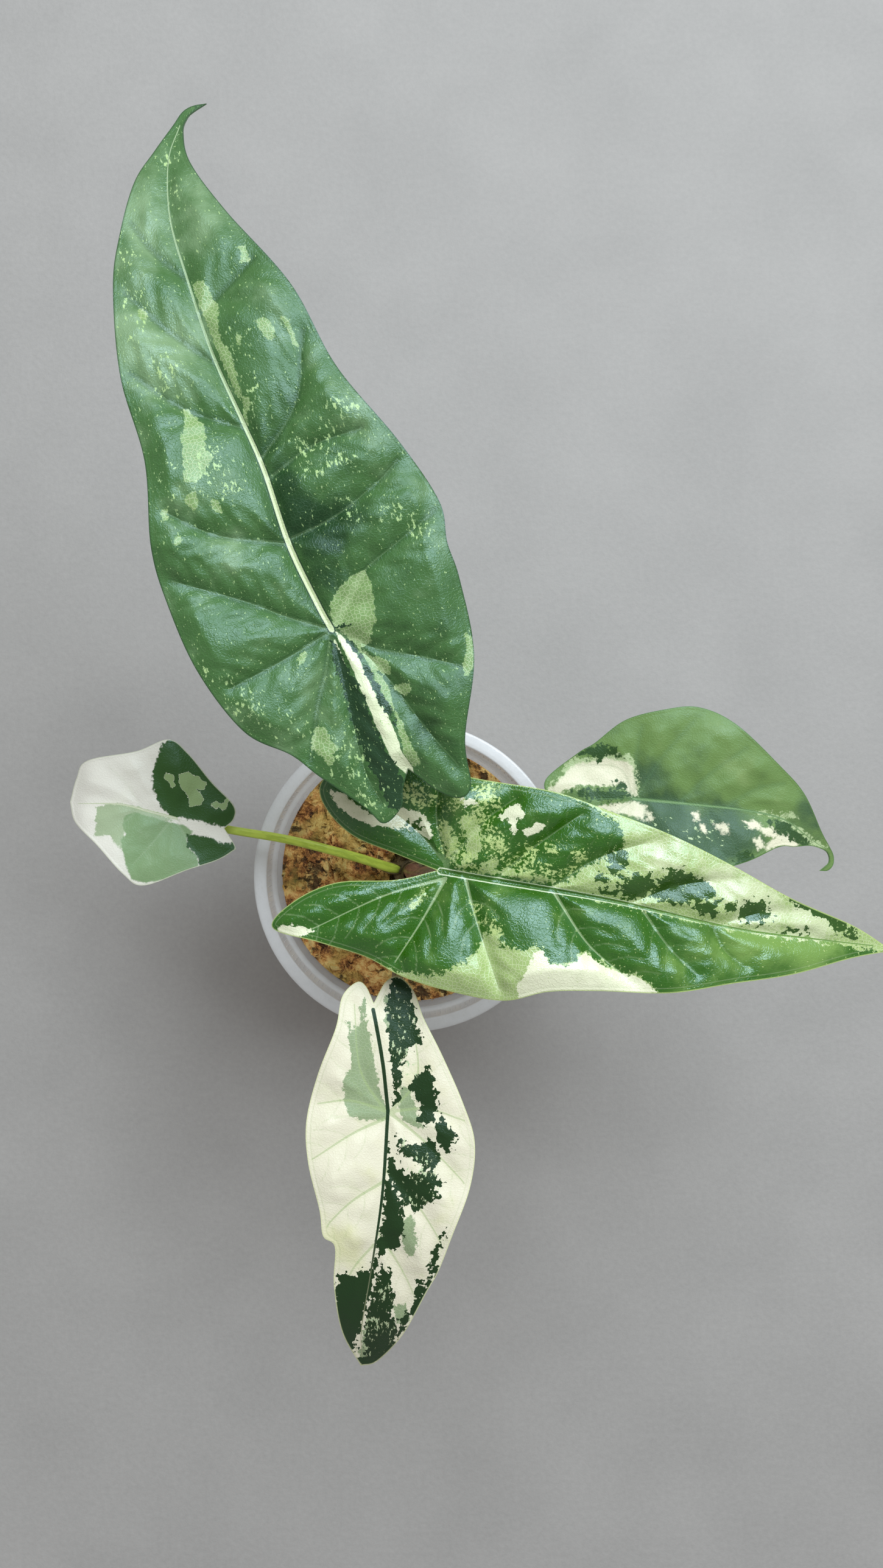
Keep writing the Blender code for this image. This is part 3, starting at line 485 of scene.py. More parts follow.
RIGHT_LEAF = Leaf(
    place="right",
    blade_slot="leaf_mottled",
    stalk_slot="stalk_brown",
    stalk_colours=(tint(150, 108, 88), tint(108, 72, 58), tint(140, 128, 78)),
    attach=(11.2, 9.2, 190.0),
    heading=-9.8,
    margin=[
        [(142, -0.5), (129, 5), (109, 10), (89, 17), (69, 23), (49, 27), (31, 30), (6, 30), (-12, 32),
         (-26, 31), (-36, 26), (-40, 19), (-36, 12), (-27, 6), (-14, 3), (0, 0)],
        [(0, 0), (-12, -5), (-30, -9), (-42, -17), (-47, -26), (-32, -28), (-17, -30), (-5, -34), (10, -36),
         (27, -36), (40, -31), (56, -28), (77, -25), (95, -19), (113, -13), (130, -5), (142, -0.5)],
    ],
    midrib=[(1, 0), (16, 0), (54, 0), (92, -2), (118, -1), (136, 0)],
    seam=[(1, 0), (0.5, 0)],
    veins=[
        [(2, 2), (7, 10), (13, 19), (20, 26)],
        [(18, 0), (27, 11), (38, 22)],
        [(35, 0), (44, 9), (53, 15), (66, 21)],
        [(60, 0), (74, 8), (90, 13)],
        [(88, -2), (100, 4), (112, 7)],
        [(9, -1), (13, -10), (18, -20), (25, -33)],
        [(36, 0), (49, -14), (62, -22)],
        [(64, -1), (74, -11), (84, -18)],
        [(86, -2), (91, -9), (98, -13)],
        [(3, 2), (-10, 12), (-28, 21)],
        [(3, 1), (-3, 16), (-4, 29)],
        [(3, -2), (-14, -10), (-33, -23)],
        [(3, -2), (-2, -16), (-8, -30)],
    ],
    rise=[(-47, -7), (-20, -2), (0, 0), (40, 5), (80, 4), (112, -3), (139, -14)],
    fold=15.0,
    roll=5.0,
    half_width=34.0,
    waves=(1.5, 40.0, 2.1),
    lean=-0.02,
    stalk=[(0.9, 0.8, 86.3), (1.1, 1.0, 102), (3.6, 3.0, 135), (7.6, 6.2, 163), (12.2, 8.2, 180)],
    stalk_radii=(3.9, 2.1),
    stalk_meets=(4.0, 0.0),
    pale={
        "net above the stalk": [
            (-1.5, 15), (1.5, 14.5), (4.5, 11), (5.5, 6.5), (4, 3), (2.5, 6), (0.5, 9.5), (-1.5, 12),
        ],
        "net by the first vein": [
            (4.5, 18.5), (7.5, 19.5), (10, 17), (11.5, 13.5), (13.5, 16), (12, 8), (10.5, 5.5), (8, 2),
            (5.5, 1.5), (8, 7), (7.5, 11), (6.5, 13.5), (4.5, 16),
        ],
        "lace along the midrib": [
            (13, 3.5), (14.5, 5.5), (16, 8), (17.5, 6.5), (18.5, 4), (21.5, 4.5), (25, 3.5), (28, 4.5),
            (32, 4), (36.5, 3), (32.5, 1.5), (26.5, 2), (20, 2.5), (14, 2.5),
        ],
        "far upper half": [
            (35, 0.5), (40.5, 4), (44.5, 8), (48.5, 12.5), (51.5, 15), (56, 17), (54, 20.5), (52, 24),
            (48.5, 26), (42, 28), (30, 30.5), (30, 34), (48.5, 31), (68, 27), (88, 21), (108.5, 14),
            (128.5, 8), (145, 1), (144, -1.5), (130, -1.5), (111, -1.5), (92, -2.5), (73, -1.5),
            (54, -0.5), (40.5, 0),
        ],
        "band on the lower margin": [
            (-9, -32.5), (-5.5, -33), (2, -32), (9.5, -29), (12.5, -26.5), (16, -22), (18, -17),
            (22, -16.5), (24, -19), (28, -21), (34, -18.5), (36, -18.5), (38.5, -22.5), (44, -22),
            (49, -17), (57, -20.5), (66.5, -21.5), (72.5, -25), (70, -28), (51, -31), (40.5, -35),
            (28, -39), (16.5, -39), (1, -38), (-9, -35),
        ],
        "net on the lower lobe": [(-6, -13), (-4, -8.5), (-1.5, -5), (-1.5, -8), (-2.5, -11), (-4, -13.5)],
    },
    cream={
        "strip on the upper lobe": [
            (-36.5, 19), (-31.5, 18.5), (-27, 16.5), (-22.5, 14), (-17, 13), (-15, 18), (-11.5, 17.5),
            (-7, 17), (-4.5, 14), (-3, 10.5), (-4.5, 9), (-7.5, 10.5), (-11.5, 11.5), (-17, 11),
            (-24.5, 11.5), (-30, 13), (-34, 15.5),
        ],
        "first upper patch": [(2.5, 23.5), (7, 24), (9, 22.5), (5, 21.5)],
        "hooked upper patch": [
            (16, 19.5), (17.5, 21.5), (19.5, 24), (22, 24.5), (24, 22.5), (23.5, 21), (21.5, 20.5),
            (22.5, 17.5), (21.5, 15), (20, 18), (19, 20), (17.5, 19),
        ],
        "small upper patch": [
            (24, 17.5), (26, 19), (28, 20.5), (30.5, 20), (30, 18.5), (28, 16.5), (25.5, 15.5),
        ],
        "outer part of the band": [
            (33, -37), (30.5, -31), (32.5, -26), (34, -20), (36.5, -19), (38.5, -23), (44, -22.5),
            (49, -17.5), (57, -21), (66.5, -22), (73, -25.5), (58.5, -31), (46, -33.5),
        ],
        "tip of the lower lobe": [
            (-46.5, -28), (-44.5, -25), (-39, -24), (-34, -24.5), (-37, -27), (-42.5, -28.5),
        ],
    },
    dark={
        "blotch a": [(48, 6.5), (48.5, 8), (52, 7.5), (51.5, 6)],
        "blotch b": [(49, 3), (54, 4), (55, 2), (50.5, 1)],
        "blotch c": [(50, 13.5), (53.5, 16), (56.5, 15.5), (57, 12.5), (55.5, 8.5), (52.5, 9)],
        "blotch d": [(55, 4), (59, 10), (66, 10.5), (67, 7), (63, 2.5), (59, 1)],
        "blotch e": [(65, 3), (69, 12.5), (75, 13.5), (83.5, 10), (85, 7), (79, 3.5), (71.5, 2.5)],
        "blotch f": [(79, 3.5), (86, 6), (85.5, 0.5), (80.5, 1)],
        "blotch g": [(88, 5.5), (91.5, 7), (91, 4), (89, 3)],
        "blotch h": [(92.5, 2.5), (94.5, 8), (101, 8), (103.5, 3), (97, 0)],
        "far blotch": [
            (105, 12), (111.5, 11), (122, 7.5), (129.5, 4), (131.5, 1), (123.5, 2.5), (120, 6),
            (109.5, 8.5),
        ],
        "blotch by the midrib": [(109, 0.5), (115, 1.5), (116.5, 0.5), (108.5, -0.5)],
        "island in the strip": [(-11, 13.5), (-9, 15), (-7, 13), (-8, 11), (-10.5, 12)],
    },
    scatter={
        "above the midrib": [
            (-3, 18.5), (4.5, 19.5), (15, 20), (19.5, 13.5), (28, 14), (43.5, 15), (45, 10), (38.5, 4),
            (30, 2), (18, 1), (7.5, 2), (2.5, 2), (-1, 7.5),
        ],
        "by the upper margin": [
            (-15.5, 25.5), (5.5, 29), (16.5, 29.5), (17, 22), (8.5, 17.5), (-2, 18.5), (-7.5, 18.5),
            (-15, 20.5),
        ],
        "lower middle": [(12, -8), (16, -8), (24, -16), (20, -18), (14, -13)],
    },
    # Tone spots: the big far lifts on the upper half are real pale colour, light ones on the lower half
    # partly painted sheen
    tones_and_painted_light=[(0, -16, 16, 0.1), (30, -12, 16, -0.2), (-20, 8, 12, -0.5), (-32, 22, 8, -0.3), (40, 18, 12, -0.5),
           (-26, -14, 12, -0.4), (110, -6, 18, 0.6), (80, -14, 16, 0.2), (10, 27, 10, 0.4), (66, 17, 9, 2.4),
           (84, 13, 8, 2.0), (98, 7, 10, 2.8), (116, 4, 8, 2.6)],
    # Its whitish veins right of the midrib, on the half facing the lamp, are partly painted highlight
    skin=Skin(
        deep=tint(44, 92, 2), green=tint(46, 94, 6), light=tint(116, 150, 70), pale=tint(162, 184, 114),
        cream=tint(234, 234, 202), dark=tint(48, 82, 14), fleck=tint(184, 202, 130),
        vein=tint(196, 212, 166), rib_core=tint(60, 100, 22), rib_rail=tint(212, 222, 190),
        margin=tint(178, 196, 118), vein_show=0.45, vein_share_off_sheen=0.3, rib_half=1.15,
        rib_rail_share=0.29, ragged=0.9, frayed=0.75, fleck_size=1.0, fleck_rare=0.68, fleck_dense=0.45,
        net_show=0.32, crease=2.6, pebble=0.6, gloss=0.8, roughness=0.28, speck_rare=0.66, crowding=0.85,
        stretch=1.0,
    ),
)

FRONT_LEAF = Leaf(
    place="front",
    blade_slot="leaf_cream",
    stalk_slot="stalk_pale",
    stalk_colours=(tint(150, 138, 84), tint(96, 66, 46), tint(168, 172, 104)),
    attach=(-4.2, -66.3, 185.0),
    heading=-96.1,
    margin=[
        [(80, 0), (78, 5), (69, 12), (55, 18), (48, 21), (37, 24), (21, 28), (7, 28), (-5, 23), (-19, 15),
         (-30, 8), (-38, 4), (-42, -1), (-40, -5), (-33, -8)],
        [(-33, -8), (-38, -11), (-39, -14), (-34, -18), (-24, -19), (-9, -23), (6, -25), (19, -23),
         (33, -18), (41, -16), (44, -12), (56, -11), (70, -7), (80, 0)],
    ],
    midrib=[(0, 0), (26, 1), (51, 0), (68, -1), (77, 0)],
    seam=[(0, 0), (-14, -3), (-31, -8)],
    veins=[
        [(0, 0), (8, 12), (18, 24), (20, 26)],
        [(18, 1), (28, 12), (38, 20), (41, 21)],
        [(38, 1), (48, 9), (56, 14), (58, 15)],
        [(2, 0), (8, -10), (16, -20), (17.5, -22)],
        [(22, 1), (29, -8), (36, -14), (38, -15)],
        [(42, 0), (49, -5), (56, -8), (58, -9)],
        [(0, 1), (-12, 8), (-30, 4)],
        [(0, 1), (-2, 12), (0, 22), (0.5, 24)],
        [(0, -1), (-12, -10), (-32, -14)],
        [(0, -1), (-2, -12), (0, -22)],
    ],
    rise=[(-42, -5), (-20, -1), (0, 0), (30, 2), (55, -3), (70, -11), (80, -21)],
    fold=9.0,
    roll=3.0,
    half_width=27.0,
    waves=(1.3, 34.0, 0.2),
    lean=0.03,
    stalk=[(0.6, -6.4, 86.3), (0.3, -8.6, 99), (-2.0, -21, 130), (-3.3, -41, 158), (-3.9, -58, 175)],
    stalk_radii=(2.7, 1.8),
    pale={
        "left wing": [
            (-26.5, -15.5), (-24.5, -13.5), (-27, -11.5), (-34, -12), (-34.5, -11), (-25, -9),
            (-13.5, -5.5), (-6.5, -3), (-0.5, 0), (3, -0.5), (3, -4.5), (4, -8), (2, -12.5), (-3.5, -14.5),
            (-9, -15), (-12.5, -12.5), (-18.5, -14),
        ],
        "right of the stalk": [
            (-8.5, 3.5), (-7.5, 6.5), (-3, 8.5), (1.5, 9.5), (3.5, 13), (4, 9), (1.5, 4.5), (-1.5, 3),
        ],
        "low on the right": [
            (33, 8.5), (31, 10.5), (33.5, 12), (35.5, 11.5), (38.5, 14), (43, 13.5), (44.5, 10.5),
            (41, 9.5), (38, 8.5),
        ],
        "near the end": [(59.5, 8.5), (59, 12), (63.5, 13.5), (66, 11.5), (63, 9)],
        "edge of the right lobe": [(-36.5, -5), (-36, -3.5), (-23.5, -1.5), (-25.5, -3.5)],
        "stripe to the end": [
            (54, 4.5), (64.5, 1.5), (71, -0.5), (78, -1), (80, 0.5), (78.5, 2), (66, 3.5), (56, 6.5),
        ],
    },
    cream={},
    dark={
        "right lobe": [
            (-35.5, -4), (-39.5, -3.5), (-43, -1.5), (-42, 1), (-37.5, 3.5), (-31.5, 5), (-27, 6),
            (-24.5, 8.5), (-22, 8), (-21.5, 6), (-19, 4.5), (-16, 3.5), (-14, 2), (-11.5, 3.5), (-8, 2.5),
            (-7.5, 1.5), (-13, 0), (-18, -1.5), (-23.5, -2.5), (-28.5, -3.5),
        ],
        "thread by the seam": [(-9.5, 1.5), (-9.5, 2.8), (-4, 3.2), (-1.5, 2.5), (-2.5, 1.6)],
        "crescent": [
            (-9, 5.5), (-12, 8), (-15, 11), (-12.5, 13), (-5.5, 15), (-2, 15.5), (1.5, 14.5), (3.5, 12),
            (2, 9), (-0.5, 9.5), (-2.5, 10.5), (-4.5, 8),
        ],
        "island": [(2.5, 15.5), (0, 17), (2.5, 19.5), (5.5, 22), (8, 21.5), (12, 20), (10, 18.5), (7, 16)],
        "upper arm": [
            (6.5, 3), (8, 5), (9.5, 7.5), (10, 10.5), (7.5, 13), (7.5, 15.5), (9.5, 16), (13, 18),
            (16.5, 16), (16, 12), (14, 9), (13.5, 6),
        ],
        "lower arm": [
            (10, 1), (16, 4), (18.5, 7.5), (17.5, 14), (17.5, 16.5), (20, 19.5), (22.5, 17), (24.5, 19),
            (28, 15), (30, 12.5), (28, 8.5), (25, 5.5), (20.5, 2.5),
        ],
        "column": [
            (20.5, 1.5), (22.5, 3.5), (28, 7), (33, 9), (38, 9), (41.5, 8.5), (43, 4.5), (45, 3), (42, 1),
            (33, 2), (26, 1.5),
        ],
        "left of the end": [
            (53, -10), (52, -8.5), (52.5, -4.5), (50, -3.5), (50, 0), (46.5, 0.5), (44.5, 2), (50.5, 2),
            (56, 1), (60, 0), (65, -0.5), (72, -2), (79.5, -3), (78.5, -6), (72.5, -7), (64.5, -9.5),
            (57.5, -10.8),
        ],
        "right of the end": [
            (46.5, 3), (49.5, 6), (53, 6.5), (57.5, 8), (62, 7.5), (65, 10.5), (69, 10), (73.5, 9.5),
            (78, 6), (82, 2), (81, -2), (76, 0.5), (67.5, 0), (62, 0.5), (54.5, 2), (49.5, 3),
        ],
        "upper margin strip": [
            (35, 22), (40, 21), (44, 20.5), (48.5, 20), (50, 18.5), (45, 18), (39.5, 19.5), (34.5, 21.5),
        ],
        "lower margin strip": [
            (49, 20), (54, 18.5), (59, 16.5), (63.5, 14), (70, 11), (73.5, 9.5), (70.5, 9.5), (62.5, 12),
            (56, 15.5), (50, 18),
        ],
        "blot by the margin": [(56.5, 14), (51.5, 14.5), (52, 17), (54, 18), (57.5, 16)],
    },
    scatter={
        "right lobe": [(-38, -2), (-36, 4), (-24, 8), (-14, 3), (-18, -1), (-30, -3)],
        "between lobe and crescent": [
            (-20, 3), (-21.5, 6.5), (-21.5, 9.5), (-17.5, 11), (-13.5, 10.5), (-11, 8), (-11.5, 4),
            (-15, 3),
        ],
        "arms": [(7, 4), (12, 18), (22, 20), (30, 14), (28, 8), (18, 8)],
        "end": [(50, 2), (56, 10), (72, 10), (80, 0), (70, -2), (60, 0)],
    },
    tones_and_painted_light=[(45, -13, 8, 0.8), (-5, 10, 10, 0.3), (20, -14, 12, -0.2)],
    skin=Skin(
        deep=tint(208, 207, 172), green=tint(222, 215, 192), light=tint(212, 209, 166),
        pale=tint(140, 156, 118), cream=tint(226, 226, 200), dark=tint(34, 56, 26),
        fleck=tint(176, 194, 154), vein=tint(158, 176, 122), rib_core=tint(34, 54, 30),
        rib_rail=tint(46, 72, 40), margin=tint(206, 208, 162), vein_show=0.55, rib_half=0.55,
        rib_rail_share=0.29, seam_thin=-0.05, crowding=0.6, ragged=0.5, frayed=0.5, fleck_size=1.1,
        fleck_rare=0.72, fleck_dense=0.545, net_show=0.1, crease=0.5, pebble=0.4, gloss=0.25,
        roughness=0.42,
    ),
)

LEFT_LEAF = Leaf(
    place="left",
    blade_slot="leaf_half_white",
    stalk_slot="stalk_green",
    stalk_colours=(tint(198, 218, 84), tint(178, 200, 72), tint(206, 224, 106)),
    attach=(-84.3, 23.3, 128.0),
    heading=171.4,
    margin=[
        [(39, 0), (38, -9), (35, -16), (18, -22), (7, -28), (-1, -24), (-11, -15), (-20, -8), (-21, -3),
         (-18, 1)],
        [(-18, 1), (-23, 7), (-22, 9), (-17, 13), (-7, 18), (8, 26), (16, 23), (27, 14), (36, 7), (39, 0)],
    ],
    midrib=[(0, 0), (10, -1), (21, -2), (36, 0)],
    seam=[(0, 0), (-9, 1), (-16, 1)],
    veins=[
        [(1, 0), (7, -11), (12, -20)],
        [(12, -1), (20, -10), (27, -15)],
        [(1, 0), (7, 10), (13, 19)],
        [(14, -1), (20, 6), (26, 11)],
        [(0, 0), (-4, -8), (-7, -15)],
        [(0, 0), (-6, 8), (-11, 12)],
    ],
    rise=[(-23, -2), (0, 0), (20, 1), (32, -3), (39, -11)],
    fold=10.0,
    roll=3.0,
    half_width=25.0,
    waves=(1.0, 26.0, 1.2),
    lean=0.04,
    stalk=[(-5.6, 1.9, 86.6), (-7.2, 2.6, 95), (-22.5, 8.5, 108.5), (-44.4, 14.9, 118), (-66.3, 18.9, 121.5),
           (-79.0, 22.0, 122.2)],
    stalk_radii=(2.0, 1.5),
    pale={
        "light sage": [
            (28, 10.5), (29, 0.5), (24.5, -2), (19.5, -2), (11, -1.5), (4, 0), (-1.5, 0.5), (5.5, 2.5),
            (17, 2), (17.5, 8.5), (17, 15), (20.5, 12.5), (23, 10),
        ],
    },
    cream={
        "deep sage": [
            (18.5, 2), (15.5, 0), (4.5, 1.5), (-3, 2), (-7, 4), (-5, 6.5), (-6, 10), (-9.5, 12), (-11, 16),
            (-5.5, 19), (1.5, 23), (7.5, 25), (12.5, 24.5), (15.5, 19.5), (18.5, 11), (17, 8.5), (19, 5),
        ],
    },
    dark={
        "upper wing": [
            (9, -26), (5.5, -29.5), (2.5, -28.5), (-6.5, -20.5), (-11.5, -16), (-21.5, -9), (-24, -4),
            (-21.5, -1.5), (-19, 0.5), (-13.5, 0.2), (-8, -0.4), (-2.5, -0.4), (2, -0.8), (5.5, -3),
            (8, -6), (10, -10.5), (11, -15.5), (10, -21),
        ],
        "lower lobe": [
            (-4.5, 5), (-8.5, 5), (-14, 5), (-18.5, 7), (-22.5, 5), (-25, 7.5), (-23, 10.5), (-17, 14.5),
            (-13, 17.5), (-11, 16.5), (-9.5, 12), (-5.5, 10),
        ],
    },
    scatter={
        "sage patch in the wing": [
            (1, -16), (-2, -17.5), (-4, -16), (-6, -16), (-9, -14), (-8.5, -12), (-6, -11.5), (-9, -8.5),
            (-8, -6.5), (-4.5, -5), (-3.5, -7.5), (-1.5, -10.5), (0, -12),
        ],
        "flecks by the stalk": [
            (-11.5, -7), (-14, -8.5), (-15.5, -7), (-17.5, -9.5), (-17.5, -7), (-16.5, -5), (-15, -6.8),
            (-14, -6),
        ],
        "cloud in the wing": [(6.5, -14), (6, -16), (3.5, -15), (2, -12), (3, -10.5), (4, -12)],
    },
    tones_and_painted_light=[(30, 0, 10, 0.2)],
    skin=Skin(
        deep=tint(214, 211, 196), green=tint(236, 232, 220), light=tint(238, 236, 220),
        pale=tint(170, 186, 150), cream=tint(134, 162, 116), dark=tint(50, 84, 30),
        fleck=tint(146, 170, 116), vein=tint(196, 206, 176), rib_core=tint(212, 216, 190),
        rib_rail=tint(190, 204, 156), margin=tint(206, 208, 184), vein_show=0.1, rib_half=0.5,
        rib_rail_share=0.4, crowding=0.0, blur=0.4, ragged=0.35, frayed=0.25, fleck_size=4.0,
        fleck_rare=0.95, fleck_dense=0.20, net_show=0.1, crease=0.3, pebble=0.4, gloss=0.4, roughness=0.45,
    ),
)

UNDER_LEAF = Leaf(
    place="under",
    blade_slot="leaf_soft_green",
    stalk_slot="stalk_pale",
    stalk_colours=(tint(132, 122, 70), tint(88, 60, 42), tint(152, 166, 92)),
    attach=(77.6, 30.8, 155.0),
    heading=-20.7,
    margin=[
        [(68, -0.5), (70.5, 0.5), (71.5, 3), (70.5, 6), (68, 8.5), (64, 12), (54, 22), (43, 28), (24, 36),
         (10, 37), (-1, 32), (-12, 24), (-19, 13), (-23, 8), (-30, -4), (-27, -9), (-19, -9)],
        [(-19, -9), (-25, -13), (-25, -19), (-19, -23), (-6, -25), (9, -24), (27, -18), (43, -7), (52, 2),
         (57, 4), (62, 6.3), (67, 6.6), (69, 5.5), (69.9, 3.2), (69, 1.2), (68, -0.5)],
    ],
    midrib=[(0, 0), (22, 6), (38, 10), (50, 11.5), (58, 9.5), (64, 7.8), (67.5, 7.3)],
    seam=[(0, 0), (-10, -4), (-17, -8)],
    veins=[
        [(1, 0), (4, 16), (10, 32)],
        [(15, 4), (22, 18), (30, 30)],
        [(30, 8), (38, 18), (46, 23)],
        [(4, 1), (8, -10), (14, -19)],
        [(24, 7), (30, -3), (37, -8)],
        [(0, 0), (-8, 8), (-22, 4)],
        [(0, 0), (-4, 14), (-6, 24)],
        [(0, 0), (-6, -10), (-12, -19)],
    ],
    rise=[(-29, -4), (0, 0), (30, 3), (52, 0), (62, -5), (71, -13)],
    fold=10.0,
    roll=4.0,
    half_width=34.0,
    waves=(1.5, 38.0, 0.9),
    lean=0.0,
    stalk=[(7.4, 3.6, 86.6), (9.2, 4.6, 96), (24, 10.5, 115), (46, 18.8, 133), (65, 26.0, 145),
           (74, 29.6, 149.5)],
    stalk_radii=(2.4, 1.6),
    pale={
        "fringe of the back lobe": [
            (-28, -8), (-26, -1), (-25, 5), (-20.5, 7.5), (-15.5, 9.5), (-11, 12.5), (-6, 13), (-3, 11),
            (1.5, 1.5), (0, 0), (-3.5, 2.5), (-6.5, 2.5), (-12.5, 0), (-18, -2), (-24.5, -7),
        ],
        "along the fold": [
            (40.5, 10.5), (52, 14.5), (54, 13.5), (51, 12), (53.5, 11.5), (61, 9), (66.5, 7.5), (64, 6.5),
            (56, 9.5), (49, 11),
        ],
    },
    cream={
        "back lobe": [
            (-28, -8), (-25, -1), (-22.5, 3.5), (-18.5, 6.5), (-13, 9.5), (-6.5, 11), (-4, 10), (-1, 5.5),
            (1, 1.5), (0, 0.5), (-3.5, 2.5), (-6.5, 2.5), (-12.5, 0), (-18, -2), (-24.5, -7),
        ],
        "front lobe": [(-11.5, -7.5), (-3.5, -3), (0.5, -1), (5.5, -1), (5.5, -5.5), (0, -6), (-6, -7)],
        "fleck 1": [(6, -3), (7.5, -2.5), (9, -4), (7.5, -5.5)],
        "fleck 2": [(20.5, 2.5), (22, 3.5), (24, 1), (22, 0)],
        "fleck 3": [(24, 0.3), (26.3, 0.3), (27.5, -2.3), (25, -2.3)],
        "fleck 4": [(28.5, 2), (33, 3), (35, 0.5), (32, -0.5)],
        "fleck 5": [(37, 6.3), (42.5, 7.5), (44, 5.5), (40, 4.5)],
        "fleck 6": [(43, 5), (46.5, 7.3), (51, 6), (47.5, 3.7)],
        "fleck 7": [(42.8, 1.5), (44.5, 3), (48, 0), (45.5, -1.5)],
        "fleck 8": [(50, 5.7), (54, 7.2), (58.5, 5), (56.5, 2), (52.5, 3), (48.5, -0.5), (47.5, 1)],
    },
    dark={
        "lens behind the stalk": [
            (-20, -6), (-16, -3), (-11.5, -1), (-7, 0.8), (-3.5, 1), (-1, 0), (-3, -1.8), (-8, -3.8),
            (-13.5, -5.6),
        ],
        "patch on the back margin": [
            (-22.5, 8), (-21.5, 11), (-17, 13.5), (-12, 14), (-8.5, 12.5), (-13, 11), (-16, 8), (-20, 8),
        ],
        "tooth": [(-8, 3.5), (-6.5, 4.3), (-3.5, 2.7), (-4, 0.8), (-6.5, 1.3)],
        "below the fold": [(45.5, 9.5), (51, 11), (61.5, 7), (60.5, 5), (54, 6.5), (48.5, 7)],
        "low margin": [(38.5, -4.5), (45, -2.5), (46, -6.5), (42.5, -10)],
    },
    scatter={
        "front half": [(6, -4), (20, 2), (40, 6), (46, 0), (36, -6), (20, -12)],
    },
    # Tone spots: the dark ones on the lower half, past the fold, are painted shade
    tones_and_painted_light=[(0, 9, 5, -0.5), (4, 12, 5, -0.5), (14, -8, 14, -1.4), (34, -3, 12, -1.3), (30, 20, 12, 0.2),
           (56, 14, 11, -0.8), (48, 16, 8, 0.5)],
    skin=Skin(
        deep=tint(66, 92, 62), green=tint(108, 136, 74), light=tint(134, 156, 96),
        pale=tint(172, 190, 140), cream=tint(228, 222, 194), dark=tint(52, 80, 38),
        fleck=tint(186, 204, 162), vein=tint(98, 134, 86), rib_core=tint(120, 150, 100),
        rib_rail=tint(88, 120, 74), margin=tint(84, 116, 62), vein_show=0.15, rib_half=0.6,
        rib_rail_share=0.5, blur=0.6, ragged=1.0, frayed=0.7, fleck_size=1.6, fleck_rare=0.72,
        fleck_dense=0.58, net_show=0.2, crease=0.35, pebble=0.4, gloss=0.4, roughness=0.48,
    ),
)

LEAVES = (BACK_LEAF, RIGHT_LEAF, FRONT_LEAF, LEFT_LEAF, UNDER_LEAF)


class Signal:
    """One output in a tree of nodes. Sums on it add Math nodes."""

    def __init__(self, nodes, socket):
        self.nodes = nodes
        self.socket = socket

    def __add__(self, other):
        return self.nodes.maths("ADD", self, other)

    def __sub__(self, other):
        return self.nodes.maths("SUBTRACT", self, other)

    def __rsub__(self, other):
        return self.nodes.maths("SUBTRACT", other, self)

    def __mul__(self, other):
        return self.nodes.maths("MULTIPLY", self, other)

    __radd__ = __add__
    __rmul__ = __mul__

    def step(self, low, high):
        """0 below low, 1 above high, smooth between; the other way round where low is above high."""
        values = {"Value": self, "From Min": min(low, high), "From Max": max(low, high)}
        values |= {"To Min": float(low > high), "To Max": float(low < high)}
        return self.nodes.node("ShaderNodeMapRange", {"interpolation_type": "SMOOTHSTEP"}, values)


class Nodes:
    """A tree of nodes in the making."""

    def __init__(self, tree):
        self.tree = tree

    def node(self, kind, settings, values, output=0):
        """Adds a node with its settings, and its sockets' values or links, and gives one of its outputs."""
        made = self.tree.nodes.new(kind)
        for name, value in settings.items():
            setattr(made, name, value)
        for name, value in values.items():
            if isinstance(value, Signal):
                self.tree.links.new(value.socket, made.inputs[name])
            else:
                made.inputs[name].default_value = value
        return Signal(self, made.outputs[output])

    def maths(self, operation, *terms):
        return self.node("ShaderNodeMath", {"operation": operation}, dict(enumerate(terms)))


